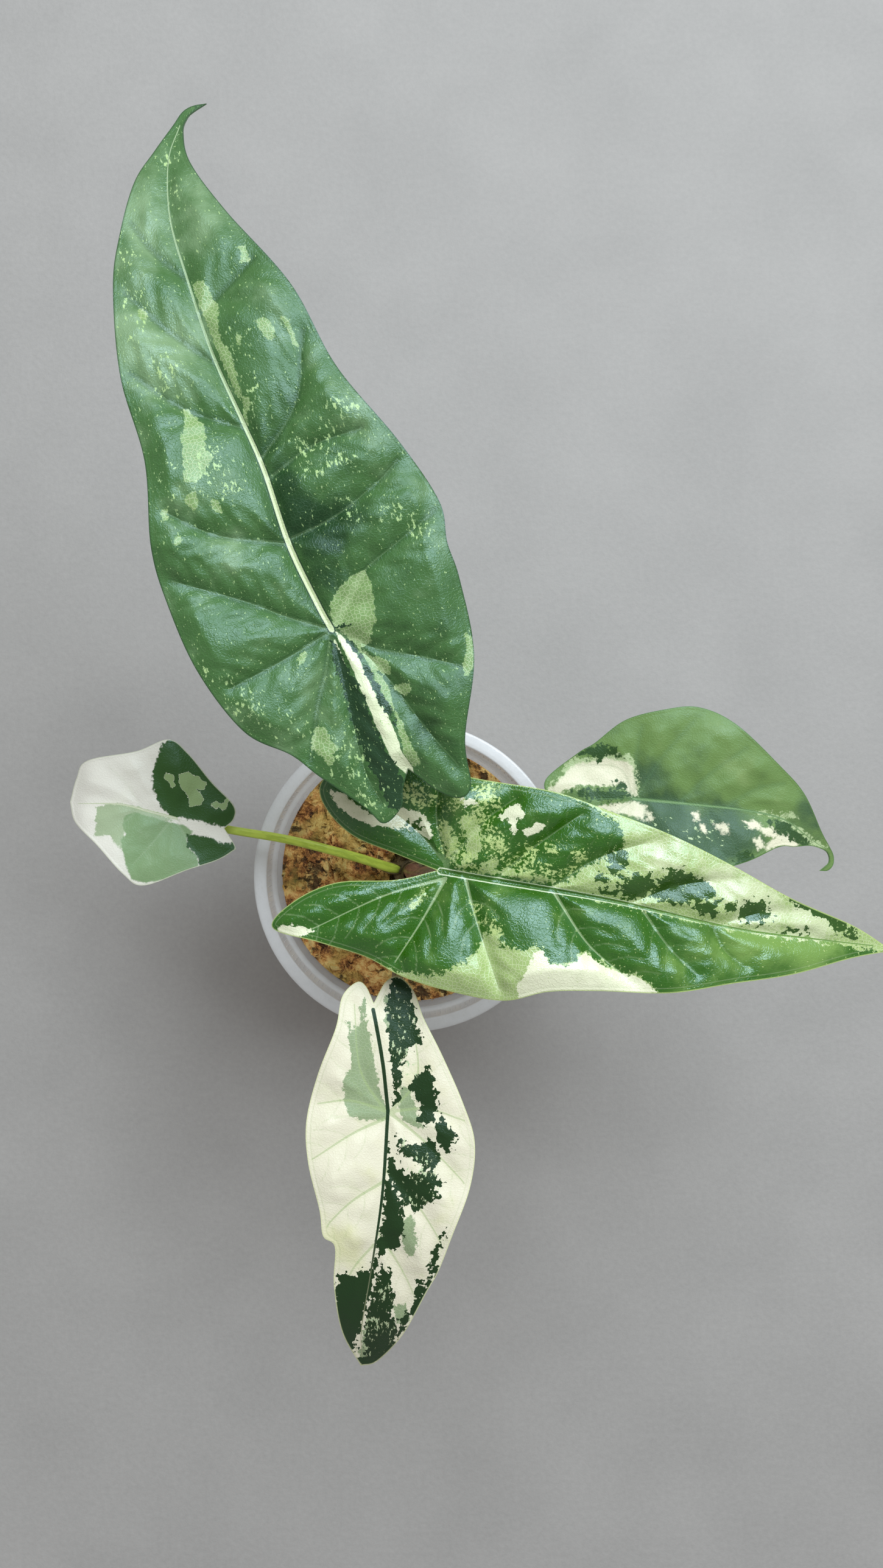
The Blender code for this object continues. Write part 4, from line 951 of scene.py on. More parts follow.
class Paint(Nodes):
    """A material in the making."""

    def __init__(self, name):
        self.material = bpy.data.materials.new(name)
        self.material.use_nodes = True
        super().__init__(self.material.node_tree)
        self.surface = self.tree.nodes["Principled BSDF"]

    def place(self):
        """The place on the piece, in metres."""
        return self.node("ShaderNodeTexCoord", {}, {}, "Object")

    def read(self, name, output="Fac"):
        """An attribute that the mesh carries: a number, or its Vector."""
        return self.node("ShaderNodeAttribute", {"attribute_name": name}, {}, output)

    def noise(self, size, detail=3.0, roughness=0.55, at=None):
        """Cloudy noise from 0 to 1 whose blots are about size millimetres across."""
        values = {"Vector": at or self.place(), "Scale": 1.0 / (size * MM)}
        values |= {"Detail": detail, "Roughness": roughness}
        return self.node("ShaderNodeTexNoise", {}, values)

    def cell_edges(self, size, at):
        """The distance to the edge of the nearest of cells that are about size millimetres across."""
        values = {"Vector": at, "Scale": 1.0 / (size * MM)}
        settings = {"feature": "DISTANCE_TO_EDGE", "voronoi_dimensions": "2D"}
        return self.node("ShaderNodeTexVoronoi", settings, values, "Distance")

    def part(self, vector, axis):
        """One part of a vector, along the named axis."""
        return self.node("ShaderNodeSeparateXYZ", {}, {"Vector": vector}, axis)

    def stretched(self, vector, *scale):
        """Places in which a pattern is drawn out along each axis with a scale below 1."""
        return self.node("ShaderNodeMapping", {}, {"Vector": vector, "Scale": scale})

    def mix(self, share, under, over):
        """The colour under, covered by the colour over as far as share says."""
        under, over = (c if isinstance(c, Signal) else (*c, 1.0) for c in (under, over))
        return self.node("ShaderNodeMix", {"data_type": "RGBA"}, {0: share, 6: under, 7: over}, 2)

    def ramp(self, share, colours):
        """One colour after another as share goes from 0 to 1."""
        last = len(colours) - 1
        colour = colours[0]
        for number, following in enumerate(colours[1:]):
            colour = self.mix(share.step(number / last, (number + 1) / last), colour, following)
        return colour

    def relief(self, height):
        """The normal of a surface that stands up by height, in millimetres."""
        return self.node("ShaderNodeBump", {}, {"Strength": 1.0, "Distance": MM, "Height": height})

    def done(self, **values):
        """Sets the surface's sockets, named with underscores for spaces, and gives the material."""
        for name, value in values.items():
            socket = self.surface.inputs[name.replace("_", " ")]
            if isinstance(value, Signal):
                self.tree.links.new(value.socket, socket)
            elif isinstance(value, (tuple, list)):
                socket.default_value = (*value, 1.0)
            else:
                socket.default_value = value
        return self.material


def add_object(name, data):
    """Puts new data in the scene, as an object at the origin."""
    made = bpy.data.objects.new(name, data)
    bpy.context.scene.collection.objects.link(made)
    return made


def applied(piece):
    """The mesh that an object's modifier makes of it. The modifier is removed."""
    graph = bpy.context.evaluated_depsgraph_get()
    mesh = bpy.data.meshes.new_from_object(piece.evaluated_get(graph))
    piece.modifiers.clear()
    return mesh


class Arrangement(Nodes):
    """A tree of geometry nodes with named inputs, and the values that it is used with."""

    def __init__(self, name, **given):
        super().__init__(bpy.data.node_groups.new(name, "GeometryNodeTree"))
        self.name = name
        self.values = []
        sockets = self.tree.interface
        sockets.new_socket("Geometry", in_out="INPUT", socket_type="NodeSocketGeometry")
        sockets.new_socket("Geometry", in_out="OUTPUT", socket_type="NodeSocketGeometry")
        for label, (kind, value) in given.items():
            made = sockets.new_socket(label, in_out="INPUT", socket_type=f"NodeSocket{kind}")
            self.values.append((made.identifier, value))
        self.inputs = self.tree.nodes.new("NodeGroupInput")

    def given(self, label):
        return Signal(self, self.inputs.outputs[label])

    def scattered(self, low, high, seed, vector=False):
        """A random value for each point, between low and high."""
        kind = "FLOAT_VECTOR" if vector else "FLOAT"
        places = (0, 1) if vector else (2, 3)
        values = {places[0]: low, places[1]: high, "Seed": seed}
        return self.node("FunctionNodeRandomValue", {"data_type": kind}, values, 0 if vector else 1)

    def used_on(self, mesh, instances, material):
        """Realizes the instances in the given material, with the tree on the mesh, and gives the result."""
        real = self.node("GeometryNodeRealizeInstances", {}, {"Geometry": instances})
        painted = self.node("GeometryNodeSetMaterial", {}, {"Geometry": real, "Material": material})
        self.tree.links.new(painted.socket, self.tree.nodes.new("NodeGroupOutput").inputs[0])
        holder = add_object(self.name, mesh)
        modifier = holder.modifiers.new(self.name, "NODES")
        modifier.node_group = self.tree
        for identifier, value in self.values:
            modifier[identifier] = value
        result = applied(holder)
        bpy.data.objects.remove(holder)
        return result


def through(points, spacing):
    """Points at an even spacing along a smooth curve that passes through the given ones."""
    knots = [np.array(p, float) for p in points]
    knots = [2 * knots[0] - knots[1], *knots, 2 * knots[-1] - knots[-2]]
    fine = []
    for before, start, end, after in zip(knots, knots[1:], knots[2:], knots[3:]):
        for t in np.linspace(0.0, 1.0, CURVE_STEPS, endpoint=False):
            slope = 0.5 * (end - before)
            next_slope = 0.5 * (after - start)
            fine.append(
                (2 * t**3 - 3 * t**2 + 1) * start
                + (t**3 - 2 * t**2 + t) * slope
                + (3 * t**2 - 2 * t**3) * end
                + (t**3 - t**2) * next_slope
            )
    fine = np.array([*fine, knots[-2]])
    travelled = np.concatenate([[0.0], np.cumsum(np.linalg.norm(np.diff(fine, axis=0), axis=1))])
    stops = np.linspace(0.0, travelled[-1], max(2, round(travelled[-1] / spacing) + 1))
    return np.stack([np.interp(stops, travelled, column) for column in fine.T], axis=1)


def along_profile(stations, at):
    """A smooth height at each distance along, through the (distance, height) stations."""
    curve = through(stations, PROFILE_STEP)
    return np.interp(at, curve[:, 0], curve[:, 1])


def distance_to(line, points):
    """How far each plan point lies from a line of points."""
    nearest = np.full(len(points), np.inf)
    for start, end in zip(line, line[1:]):
        side = end - start
        share = np.clip((points - start) @ side / max(side @ side, TINY), 0.0, 1.0)
        nearest = np.minimum(nearest, np.linalg.norm(points - start - share[:, None] * side, axis=1))
    return nearest


def depth_in(outline, points):
    """How deep each plan point lies inside a closed outline, below nothing where it is outside."""
    closed = np.array([*outline, outline[0]], float)
    inside = np.zeros(len(points), bool)
    for (x0, y0), (x1, y1) in zip(closed, closed[1:]):
        crosses = (y0 > points[:, 1]) != (y1 > points[:, 1])
        rise = y1 - y0 if y1 != y0 else TINY
        inside ^= crosses & (points[:, 0] < (x1 - x0) * (points[:, 1] - y0) / rise + x0)
    return np.where(inside, 1.0, -1.0) * distance_to(closed, points)


def margin_line(leaf, spacing):
    """The whole margin as one closed loop, its last point before its first."""
    runs = [through(run, spacing)[:-1] for run in leaf.margin]
    return np.concatenate(runs)


def height_over(leaf, plan):
    """How far the smooth middle of the blade stands over the stalk's end."""
    along, across = plan[:, 0], plan[:, 1]
    ribs = np.array(leaf.midrib, float)
    order = np.argsort(ribs[:, 0])
    from_rib = across - np.interp(along, ribs[order, 0], ribs[order, 1])
    spread = np.sqrt(from_rib**2 + FOLD_SOFTNESS**2) - FOLD_SOFTNESS
    share = spread / leaf.half_width
    size, length, start = leaf.waves
    wave = size * share**2 * np.sin(2 * math.pi * along / length + start + np.sign(from_rib))
    lift = math.tan(math.radians(leaf.fold)) * spread - leaf.roll * share**3
    return along_profile(leaf.rise, along) + lift + wave + leaf.lean * across


def in_space(leaf, plan):
    """The plan points in space, slid along their lines of sight to their heights."""
    turn = math.radians(leaf.heading)
    along, across = plan[:, 0], plan[:, 1]
    x = leaf.attach[0] + along * math.cos(turn) - across * math.sin(turn)
    y = leaf.attach[1] + along * math.sin(turn) + across * math.cos(turn)
    z = leaf.attach[2] + height_over(leaf, plan)
    nearer = (EYE[2] - z) / (EYE[2] - leaf.attach[2])
    return np.stack([EYE[0] + (x - EYE[0]) * nearer, EYE[1] + (y - EYE[1]) * nearer, z], axis=1)


def normals(leaf, plan):
    """Which way the smooth blade faces at each plan point."""
    ahead = in_space(leaf, plan + (NORMAL_STEP, 0.0)) - in_space(leaf, plan - (NORMAL_STEP, 0.0))
    left = in_space(leaf, plan + (0.0, NORMAL_STEP)) - in_space(leaf, plan - (0.0, NORMAL_STEP))
    facing = np.cross(ahead, left)
    return facing / np.linalg.norm(facing, axis=1)[:, None]


def vein_lines(leaf, spacing):
    """The side veins, each run on until it nearly meets the margin."""
    margin = margin_line(leaf, VEIN_MARGIN_STEP)
    lines = []
    for vein in leaf.veins:
        knots = [np.array(knot, float) for knot in vein]
        ahead = knots[-1] - knots[-2]
        ahead /= np.linalg.norm(ahead)
        bend = VEIN_BEND * np.array((1.0 if leaf.midrib[-1][0] * ahead[0] > 0 else 0.0, 0.0))
        while len(knots) < len(vein) + VEIN_LONGEST:
            following = knots[-1] + VEIN_STRIDE * (ahead + bend * (len(knots) - len(vein) + 1))
            if depth_in(margin, following[None])[0] < VEIN_END_CLEAR:
                break
            knots.append(following)
        lines.append(through(knots, spacing))
    return lines


def flat_net(leaf, spacing):
    """Plan points and triangles that fill the margin, with the ribs as edges of the net."""
    margin = margin_line(leaf, spacing)
    lines = [through(leaf.midrib, spacing), through(leaf.seam, spacing), *vein_lines(leaf, spacing)]
    keep_clear = NET_CLEAR * spacing
    low, high = margin.min(axis=0), margin.max(axis=0)
    row_step = spacing * math.sqrt(3) / 2
    rows = []
    for number, across in enumerate(np.arange(low[1], high[1], row_step)):
        along = np.arange(low[0] + (number % 2) * spacing / 2, high[0], spacing)
        rows.append(np.stack([along, np.full(len(along), across)], axis=1))
    middle = np.concatenate(rows)
    closed = np.vstack([margin, margin[:1]])
    middle = middle[depth_in(margin, middle) > keep_clear]
    for line in lines:
        middle = middle[distance_to(line, middle) > keep_clear]
    points = [*margin]
    edges = []
    for line in lines:
        line = line[distance_to(closed, line) > NET_END_CLEAR * spacing]
        places = []
        for point in line:
            near = [i for i in range(len(margin), len(points)) if math.dist(points[i], point) < keep_clear]
            places.append(near[0] if near else len(points))
            if not near:
                points.append(point)
        edges += [pair for pair in zip(places, places[1:]) if pair[0] != pair[1]]
    points += [*middle]
    inside_only = 1
    outline = [list(range(len(margin)))]
    found = delaunay_2d_cdt([Vector(p) for p in points], edges, outline, inside_only, NET_TOLERANCE)
    return np.array([tuple(p) for p in found[0]]), [tuple(face) for face in found[2]]


def mesh_of(name, points, faces):
    """A mesh from points in millimetres and faces as lists of point numbers."""
    mesh = bpy.data.meshes.new(name)
    mesh.from_pydata((np.array(points, float) * MM).tolist(), [], [tuple(face) for face in faces])
    mesh.update()
    return mesh


def closed_sheet(name, upper, lower, triangles):
    """A thin closed body: the same triangles above and below, and a rim round them."""
    count = len(upper)
    used = set()
    for a, b, c in triangles:
        used.update(((a, b), (b, c), (c, a)))
    rim = [edge for edge in used if (edge[1], edge[0]) not in used]
    rim.sort()
    faces = [*triangles, *((c + count, b + count, a + count) for a, b, c in triangles)]
    for a, b in rim:
        faces += [(b, a, a + count), (b, a + count, b + count)]
    return mesh_of(name, [*upper, *lower], faces)


def rings_along(path, radii, sides, groove=0.0):
    """Rings of points square to a path, with a groove on the side that faces the middle of the plant."""
    ahead = np.gradient(path, axis=0)
    ahead /= np.linalg.norm(ahead, axis=1)[:, None]
    inward = path[0] - path[-1]
    inward[2] = 0.0
    upward = np.array((0.0, 0.0, 1.0)) + inward / max(np.linalg.norm(inward), TINY)
    rings = []
    for centre, direction, radius in zip(path, ahead, radii):
        up = upward - direction * (upward @ direction)
        up /= np.linalg.norm(up)
        side = np.cross(up, direction)
        ring = []
        for i in range(sides):
            turn = 2 * math.pi * i / sides
            dip = groove * math.exp(-(((turn - math.pi / 2) / GROOVE_HALF_WIDTH) ** 2))
            ring.append(centre + radius * (math.cos(turn) * side + (math.sin(turn) - dip) * up))
        rings.append(ring)
    return rings


def body_faces(rings, sides, turned_over=False):
    """Faces of a closed body: its first point, its rings of points one after another, and its last point."""
    faces = []
    for side in range(sides):
        i, j = side, (side + 1) % sides
        if turned_over:
            i, j = j, i
        faces.append((0, 1 + j, 1 + i))
        for ring in range(rings - 1):
            low, high = 1 + ring * sides, 1 + (ring + 1) * sides
            faces.append((low + i, low + j, high + j, high + i))
        last = 1 + (rings - 1) * sides
        faces.append((last + i, last + j, last + sides))
    return faces


def turned(name, profile, sides, centre=(0.0, 0.0)):
    """A body turned round a vertical axis: its profile of (radius, height) begins and ends on the axis."""
    turns = np.linspace(0.0, 2 * math.pi, sides, endpoint=False)
    x, y = centre
    points = [(x, y, profile[0][1])]
    for radius, height in profile[1:-1]:
        points += [(x + radius * math.cos(t), y + radius * math.sin(t), height) for t in turns]
    points.append((x, y, profile[-1][1]))
    return mesh_of(name, points, body_faces(len(profile) - 2, sides))


def mesh_from(name, net):
    """A mesh with the faces of a net in the making, which is then done with."""
    mesh = bpy.data.meshes.new(name)
    net.to_mesh(mesh)
    net.free()
    return mesh


def show(name, mesh, material):
    """Puts a mesh in the scene as a smooth piece with its material."""
    mesh.materials.clear()
    mesh.materials.append(material)
    mesh.shade_smooth()
    mesh.set_sharp_from_angle(angle=math.radians(SMOOTH_ANGLE))
    return add_object(name, mesh)


def hand_over(piece, slot, *nodes):
    """Makes a finished piece part of the plant: it rides on the one body and stands for its nodes."""
    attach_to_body(piece, "root")
    if nodes:
        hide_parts(*nodes)


def store(mesh, name, values):
    """Keeps one number for each point of a mesh, for its material to read."""
    attribute = mesh.attributes.new(name, "FLOAT", "POINT")
    attribute.data.foreach_set("value", np.asarray(values, np.float32))


def store_places(mesh, name, places):
    """Keeps one place in metres for each point of a mesh, for its material to read."""
    attribute = mesh.attributes.new(name, "FLOAT_VECTOR", "POINT")
    attribute.data.foreach_set("vector", np.asarray(places, np.float32).ravel())


class LeafPaint(Paint):
    """The skin of one leaf in the making, with what its layers share."""

    def __init__(self, leaf):
        super().__init__(f"skin_{leaf.place}")
        skin = self.skin = leaf.skin
        plan = self.plan = self.read("plan", "Vector")
        self.cloud = self.noise(size=5.0, detail=6.0, roughness=0.72, at=plan) - 0.5
        self.fray = self.noise(size=1.6, detail=5.0, roughness=0.7, at=plan) - 0.5
        lumps = self.noise(size=1.8, detail=2.0, roughness=0.6, at=plan) - 0.5
        frayed = lumps * (DARK_PUSH_OF_LUMPS * skin.frayed) + self.cloud * (DARK_PUSH_OF_CLOUD * skin.frayed)
        self.dark_in = self.inside("dark", frayed)
        zones = self.noise(size=14.0, detail=4.0, at=plan) * TONE_SWING - TONE_SWING / 2
        # The tone that the skin reads, painted sheen and shade included: the stored spots plus random zones
        self.tone = self.read("tone") + zones
        self.margin = self.read("to_margin")
        self.vein = self.read("vein")
        self.near_vein = self.vein.step(-1.4, 0.0)
        self.net = self.cell_edges(size=1.15, at=plan)
        self.net_line = self.net.step(0.12, 0.03)
        self.far = self.part(plan, "X").step(FAR_PART[0] * MM, FAR_PART[1] * MM)

    def inside(self, layer, push):
        """Where a layer's patches lie, their edges pushed in and out."""
        return (self.read(layer) + push).step(-self.skin.blur, self.skin.blur)

    def ground(self, green):
        """Green in lighter and darker zones, partly painted sheen and shade, a fine net, and painted shade by
        its veins.
        """
        # Lighter and darker zones: the leaf's own tone, with painted sheen and painted shade where the spots
        # put them
        colour = self.mix(self.tone.step(0.0, 1.0), green, self.skin.light)
        colour = self.mix(self.tone.step(0.0, -1.0), colour, self.skin.deep)
        colour = self.mix(self.net_line * 0.06, colour, self.skin.light)
        # Painted shade in the creases along the veins, deeper on a more creased blade
        return self.mix(self.near_vein * (0.4 * min(self.skin.crease, 1.0)), colour, self.skin.deep)

    def vein_line(self):
        """Side veins and lesser ones, fainter far out; brighter right of the midrib, as painted highlight,
        where the skin says so.
        """
        line = self.vein.step(-0.15, 0.1) + self.read("to_twig").step(0.45, 0.1) * 0.4
        upper = self.part(self.plan, "Y").step(-MM, MM)
        # Fainter left of the midrib where the skin says so, as the lines right of it are partly painted
        # highlight
        return line * (1.0 - upper * (1.0 - self.skin.vein_share_off_sheen)) * (1.0 - self.far * FAR_VEIN_FADE)

    def patches(self, colour):
        """Ragged patches: netted pale ones, cream ones, then the veins, and dark ones over all."""
        skin = self.skin
        ragged = self.cloud * (PUSH_OF_CLOUD * skin.ragged) + self.fray * (PUSH_OF_FRAY * skin.ragged)
        netted = self.net_line * skin.net_show + self.near_vein * (0.4 * skin.net_show)
        milky = (self.tone + self.cloud * 5.0).step(1.0, 2.6) * 0.45
        pale = self.mix(milky, self.mix(netted, skin.pale, skin.cream), skin.cream)
        cream = self.mix(self.net_line * 0.08 + self.cloud * 0.8, skin.cream, skin.pale)
        colour = self.mix(self.inside("pale", ragged), colour, pale)
        colour = self.mix(self.inside("cream", ragged * CREAM_PUSH_SHARE), colour, cream)
        colour = self.mix(self.vein_line() * skin.vein_show, colour, skin.vein)
        return self.mix(self.dark_in, colour, skin.dark)

    def flecks(self, colour):
        """Specks all over, and flecks that crowd where the scatter's outlines lie."""
        skin = self.skin
        drawn = self.stretched(self.plan, skin.stretch, 1.0, 1.0)
        crowd = self.noise(size=8.0, detail=3.0, at=self.plan).step(0.38, 0.62) * skin.crowding
        dense = self.read("scatter").step(-2.5, 1.5) * (crowd + (1.0 - skin.crowding))
        speck = self.noise(size=0.9, detail=2.0, roughness=0.6, at=drawn) - skin.speck_rare
        colour = self.mix(speck.step(0.0, 0.03) * 0.7, colour, skin.fleck)
        limit = skin.fleck_rare - dense * (skin.fleck_rare - skin.fleck_dense)
        fleck = self.noise(skin.fleck_size, detail=4.0, roughness=0.7, at=drawn) - limit
        fleck_colour = self.mix(fleck.step(0.0, 0.04), skin.light, skin.fleck)
        return self.mix(fleck.step(0.0, 0.01), colour, fleck_colour)

    def ribs_and_edge(self, colour):
        """The midrib's rails and core, the line just inside the margin, and the margin."""
        skin = self.skin
        rib = self.read("rib")
        rails = (rib + self.fray * 0.3).step(-0.1, 0.1) * (1.0 - self.far * FAR_RAIL_FADE)
        colour = self.mix(rails, colour, skin.rib_rail)
        core = self.mix(self.far * FAR_CORE_FADE, skin.rib_core, skin.light)
        colour = self.mix((rib - skin.rib_rail_share + self.fray * 0.2).step(-0.08, 0.08), colour, core)
        line = (self.margin - 1.5).step(0.3, 0.0) * (self.margin - 1.2).step(0.0, 0.3)
        colour = self.mix(line * (1.0 - self.dark_in) * (skin.vein_show * 0.4), colour, skin.vein)
        return self.mix(self.margin.step(0.45, 0.15) * 0.8, colour, skin.margin)

    def height(self):
        """How far the skin stands up: wrinkles, grain, the net's ridges and the rolled margin."""
        wrinkle = self.noise(size=2.6, detail=3.0, at=self.plan) * (0.28 * self.skin.pebble)
        grain = self.cell_edges(size=0.75, at=self.plan).step(0.0, 0.3) * (0.03 * self.skin.pebble)
        ridge = self.net.step(0.2, 0.0) * 0.03 + self.margin.step(1.3, 0.4) * 0.12
        return wrinkle + grain + ridge


def blade_paint(leaf, settings):
    """The skin of one leaf, laid on layer by layer, with a paler and duller underside."""
    paint = LeafPaint(leaf)
    colour = paint.ground(tuple(getattr(settings, leaf.place)))
    for layer in (paint.patches, paint.flecks, paint.ribs_and_edge):
        colour = layer(colour)
    under = paint.read("under")
    sheen = paint.noise(size=9.0, detail=3.0, at=paint.plan) * 0.5 - 0.25
    return paint.done(
        Base_Color=paint.mix(under * 0.42, colour, tint(168, 182, 150)),
        Roughness=sheen + leaf.skin.roughness + under * 0.15,
        Specular_IOR_Level=leaf.skin.gloss,
        Specular_Tint=LEAF_GLEAM,
        Normal=paint.relief(paint.height()),
    )


def twig_lines(leaf):
    """Lesser veins that leave each side vein on both sides and bend towards the margin."""
    lines = []
    for line in vein_lines(leaf, TWIG_VEIN_STEP):
        for place in range(TWIG_STEP, len(line) - 2, TWIG_STEP):
            ahead = line[place + 1] - line[place - 1]
            heading = math.atan2(ahead[1], ahead[0])
            for side in (-1, 1):
                knots = [line[place]]
                for share in TWIG_BENDS:
                    turn = heading + side * TWIG_TURN * share
                    stride = TWIG_LENGTH / len(TWIG_BENDS)
                    knots.append(knots[-1] + stride * np.array((math.cos(turn), math.sin(turn))))
                lines.append(through(knots, TWIG_SPACING))
    return lines


def fading(share, start, least):
    """Full near the stalk, then less and less towards the tip, but never under the least."""
    return np.clip(start - share, least, 1.0)


def blade_relief(leaf, plan, spacing, settings):
    """The blade's two faces and the distances that its skin reads."""
    to_margin = distance_to(np.vstack([margin_line(leaf, spacing), leaf.margin[0][:1]]), plan)
    to_midrib = distance_to(through(leaf.midrib, spacing), plan)
    to_seam = distance_to(through(leaf.seam, spacing), plan)
    to_vein = np.min([distance_to(vein, plan) for vein in vein_lines(leaf, spacing)], axis=0)
    to_twig = np.min([distance_to(twig, plan) for twig in twig_lines(leaf)], axis=0)
    inside = np.clip(to_margin / QUILT_REACH, 0.0, 1.0)
    near_rib = np.minimum(to_vein, to_midrib)
    share = plan[:, 0] / leaf.midrib[-1][0]
    quilt = QUILT_HEIGHT * inside * (1.0 - np.exp(-((near_rib / QUILT_REACH) ** 2)))
    crease = leaf.skin.crease * inside * fading(share, start=1.25, least=0.3)
    quilt += crease * (1.0 - np.exp(-((near_rib / CREASE_REACH) ** CREASE_SHARPNESS)))
    away = np.minimum(near_rib / CREASE_REACH, 1.0)
    twig_height = TWIG_HEIGHT * np.minimum(crease, TWIG_MOST * inside)
    quilt += twig_height * away * (1.0 - np.exp(-((to_twig / TWIG_REACH) ** 2)))
    pucker = np.array([noise.noise((a * PUCKER_PITCH, b * PUCKER_PITCH, leaf.heading)) for a, b in plan])
    quilt += settings.pucker / MM * inside * pucker * away
    fade = np.clip(to_margin / RIB_FADE, RIB_LEAST, 1.0)
    midrib = MIDRIB_DEPTH * fade * np.exp(-((np.minimum(to_midrib, to_seam) / MIDRIB_REACH) ** 2))
    side_rib = SIDE_RIB_DEPTH * fade * np.exp(-((to_vein / SIDE_RIB_REACH) ** 2))
    from_stalk = np.linalg.norm(plan - leaf.stalk_meets, axis=1)
    knuckle = KNUCKLE_DEPTH * fade * np.exp(-((from_stalk / KNUCKLE_REACH) ** 2))
    inner = np.clip(to_margin / EDGE_REACH, 0.0, 1.0)
    thin = settings.thickness / MM * (EDGE_THIN + (1.0 - EDGE_THIN) * inner)
    facing = normals(leaf, plan)
    upper = in_space(leaf, plan) + facing * quilt[:, None]
    lower = upper - facing * (thin + midrib + side_rib + knuckle)[:, None]
    half = leaf.skin.rib_half * fading(share, start=1.15, least=0.2)
    slimming = np.exp(-np.minimum(to_midrib, from_stalk) / VEIN_TAPER)
    slimming *= fading(0.9 * share, start=1.1, least=0.15)
    vein_half = VEIN_THIN + (VEIN_WIDE - VEIN_THIN) * slimming
    reads = {
        "to_margin": to_margin,
        "vein": vein_half - to_vein,
        "to_twig": to_twig,
        "rib": 1.0 - np.minimum(to_midrib, to_seam + leaf.skin.seam_thin) / half,
        # The soft tone spots: the leaf's own tone, partly painted sheen and shade
        "tone": sum(
            amount * np.exp(-(((plan[:, 0] - along) ** 2 + (plan[:, 1] - across) ** 2) / reach**2))
            for along, across, reach, amount in leaf.tones_and_painted_light
        ),
    }
    for layer in ("pale", "cream", "dark", "scatter"):
        depths = [depth_in(outline, plan) for outline in getattr(leaf, layer).values()]
        reads[layer] = np.max([np.full(len(plan), OUTSIDE_PATCHES), *depths], axis=0)
    return upper, lower, reads


def build_blade(leaf, settings):
    """One fine blade in the place of its plain solid."""
    spacing = settings.net / MM
    plan, triangles = flat_net(leaf, spacing)
    upper, lower, reads = blade_relief(leaf, plan, spacing, settings)
    mesh = closed_sheet(f"blade_{leaf.place}", upper, lower, triangles)
    for name, values in reads.items():
        store(mesh, name, np.concatenate([values, values]))
    store(mesh, "under", np.concatenate([np.zeros(len(plan)), np.ones(len(plan))]))
    laid = np.column_stack([plan * MM, np.zeros(len(plan))])
    store_places(mesh, "plan", np.concatenate([laid, laid]))
    return show(f"blade_{leaf.place}", mesh, blade_paint(leaf, settings))


def stalk_paint(leaf, settings):
    """A leafstalk's skin: fine lengthwise mottle, greener towards the blade, and painted shade on its
    underside.
    """
    paint = Paint(f"skin_stalk_{leaf.place}")
    run = paint.read("run", "Vector")
    streak = paint.noise(size=1.6, detail=3.0, roughness=0.6, at=run)
    cloud = paint.noise(size=6.0, detail=2.0, at=run)
    main = tuple(getattr(settings, leaf.place))
    mottle, tip = leaf.stalk_colours[1:]
    colour = paint.mix(streak.step(0.47, 0.56), main, mottle)
    colour = paint.mix(cloud.step(0.4, 0.7) * 0.4, colour, main)
    colour = paint.mix(paint.read("along").step(0.6, 1.0) * 0.8, colour, tip)
    # Painted shade: the underside darker, in the mottle's colour
    colour = paint.mix(paint.read("below") * 0.35, colour, mottle)
    grain = paint.noise(size=0.5, detail=2.0, at=run) * 0.05 + streak * 0.08
    return paint.done(Base_Color=colour, Roughness=streak * 0.1 + 0.36, Normal=paint.relief(grain))


def build_stalk(leaf, blade, settings):
    """A tapering stalk with a shallow groove above, which grows into the underside of its blade."""
    meets = in_space(leaf, np.array([leaf.stalk_meets]))[0]
    path = through([*leaf.stalk, tuple(meets)], settings.step / MM)
    share = np.linspace(0.0, 1.0, len(path))
    foot, top = leaf.stalk_radii
    radii = top + (foot - top) * (1.0 - share) ** STALK_TAPER
    rings = rings_along(path, radii, settings.sides, settings.groove)
    net = bmesh.new()
    net.from_mesh(blade.data)
    tree = BVHTree.FromBMesh(net)
    net.free()
    towards = Vector(path[-1] - path[-2]).normalized()

    def in_blade(point):
        start = (Vector(point) - towards * STALK_PROBE) * MM
        hit = tree.ray_cast(start, towards)[0]
        return (hit + towards * STALK_ROOTED * MM) / MM

    rings[-1] = [in_blade(point) for point in rings[-1]]
    points = [path[0], *(point for ring in rings for point in ring), in_blade(path[-1])]
    mesh = mesh_of(f"stalk_fine_{leaf.place}", points, body_faces(len(rings), settings.sides))
    turns = np.linspace(0.0, 2 * math.pi, settings.sides, endpoint=False)
    along = np.array([0.0, *np.repeat(share, settings.sides), 1.0])
    length = len(path) * settings.step
    across = np.array([0.0, *np.tile(np.cos(turns), len(path)), 0.0]) * foot * MM
    height = np.array([0.0, *np.tile(np.sin(turns), len(path)), 0.0]) * foot * MM
    store(mesh, "along", along)
    # How far round to the underside each point lies, for the painted shade there
    store(mesh, "below", np.clip(-height / (foot * MM), 0.0, 1.0))
    store_places(mesh, "run", np.column_stack([across, height, along * length * STALK_STREAK]))
    return show(f"stalk_fine_{leaf.place}", mesh, stalk_paint(leaf, settings))


def stem_paint(settings):
    """The short stem and its dry papery sheaths: clouds of two browns and fine dark fibres."""
    paint = Paint("papery_sheath")
    fibre = paint.noise(size=0.7, detail=3.0, at=paint.stretched(paint.place(), 1.0, 1.0, 0.12))
    cloud = paint.noise(size=5.0)
    colour = paint.mix(cloud.step(0.35, 0.65), tuple(settings.colour), tint(132, 112, 70))
    colour = paint.mix(fibre.step(0.45, 0.6) * 0.6, colour, tint(58, 50, 28))
    height = fibre * 0.22 + cloud * 0.2
    return paint.done(Base_Color=colour, Roughness=fibre * 0.2 + 0.55, Normal=paint.relief(height))


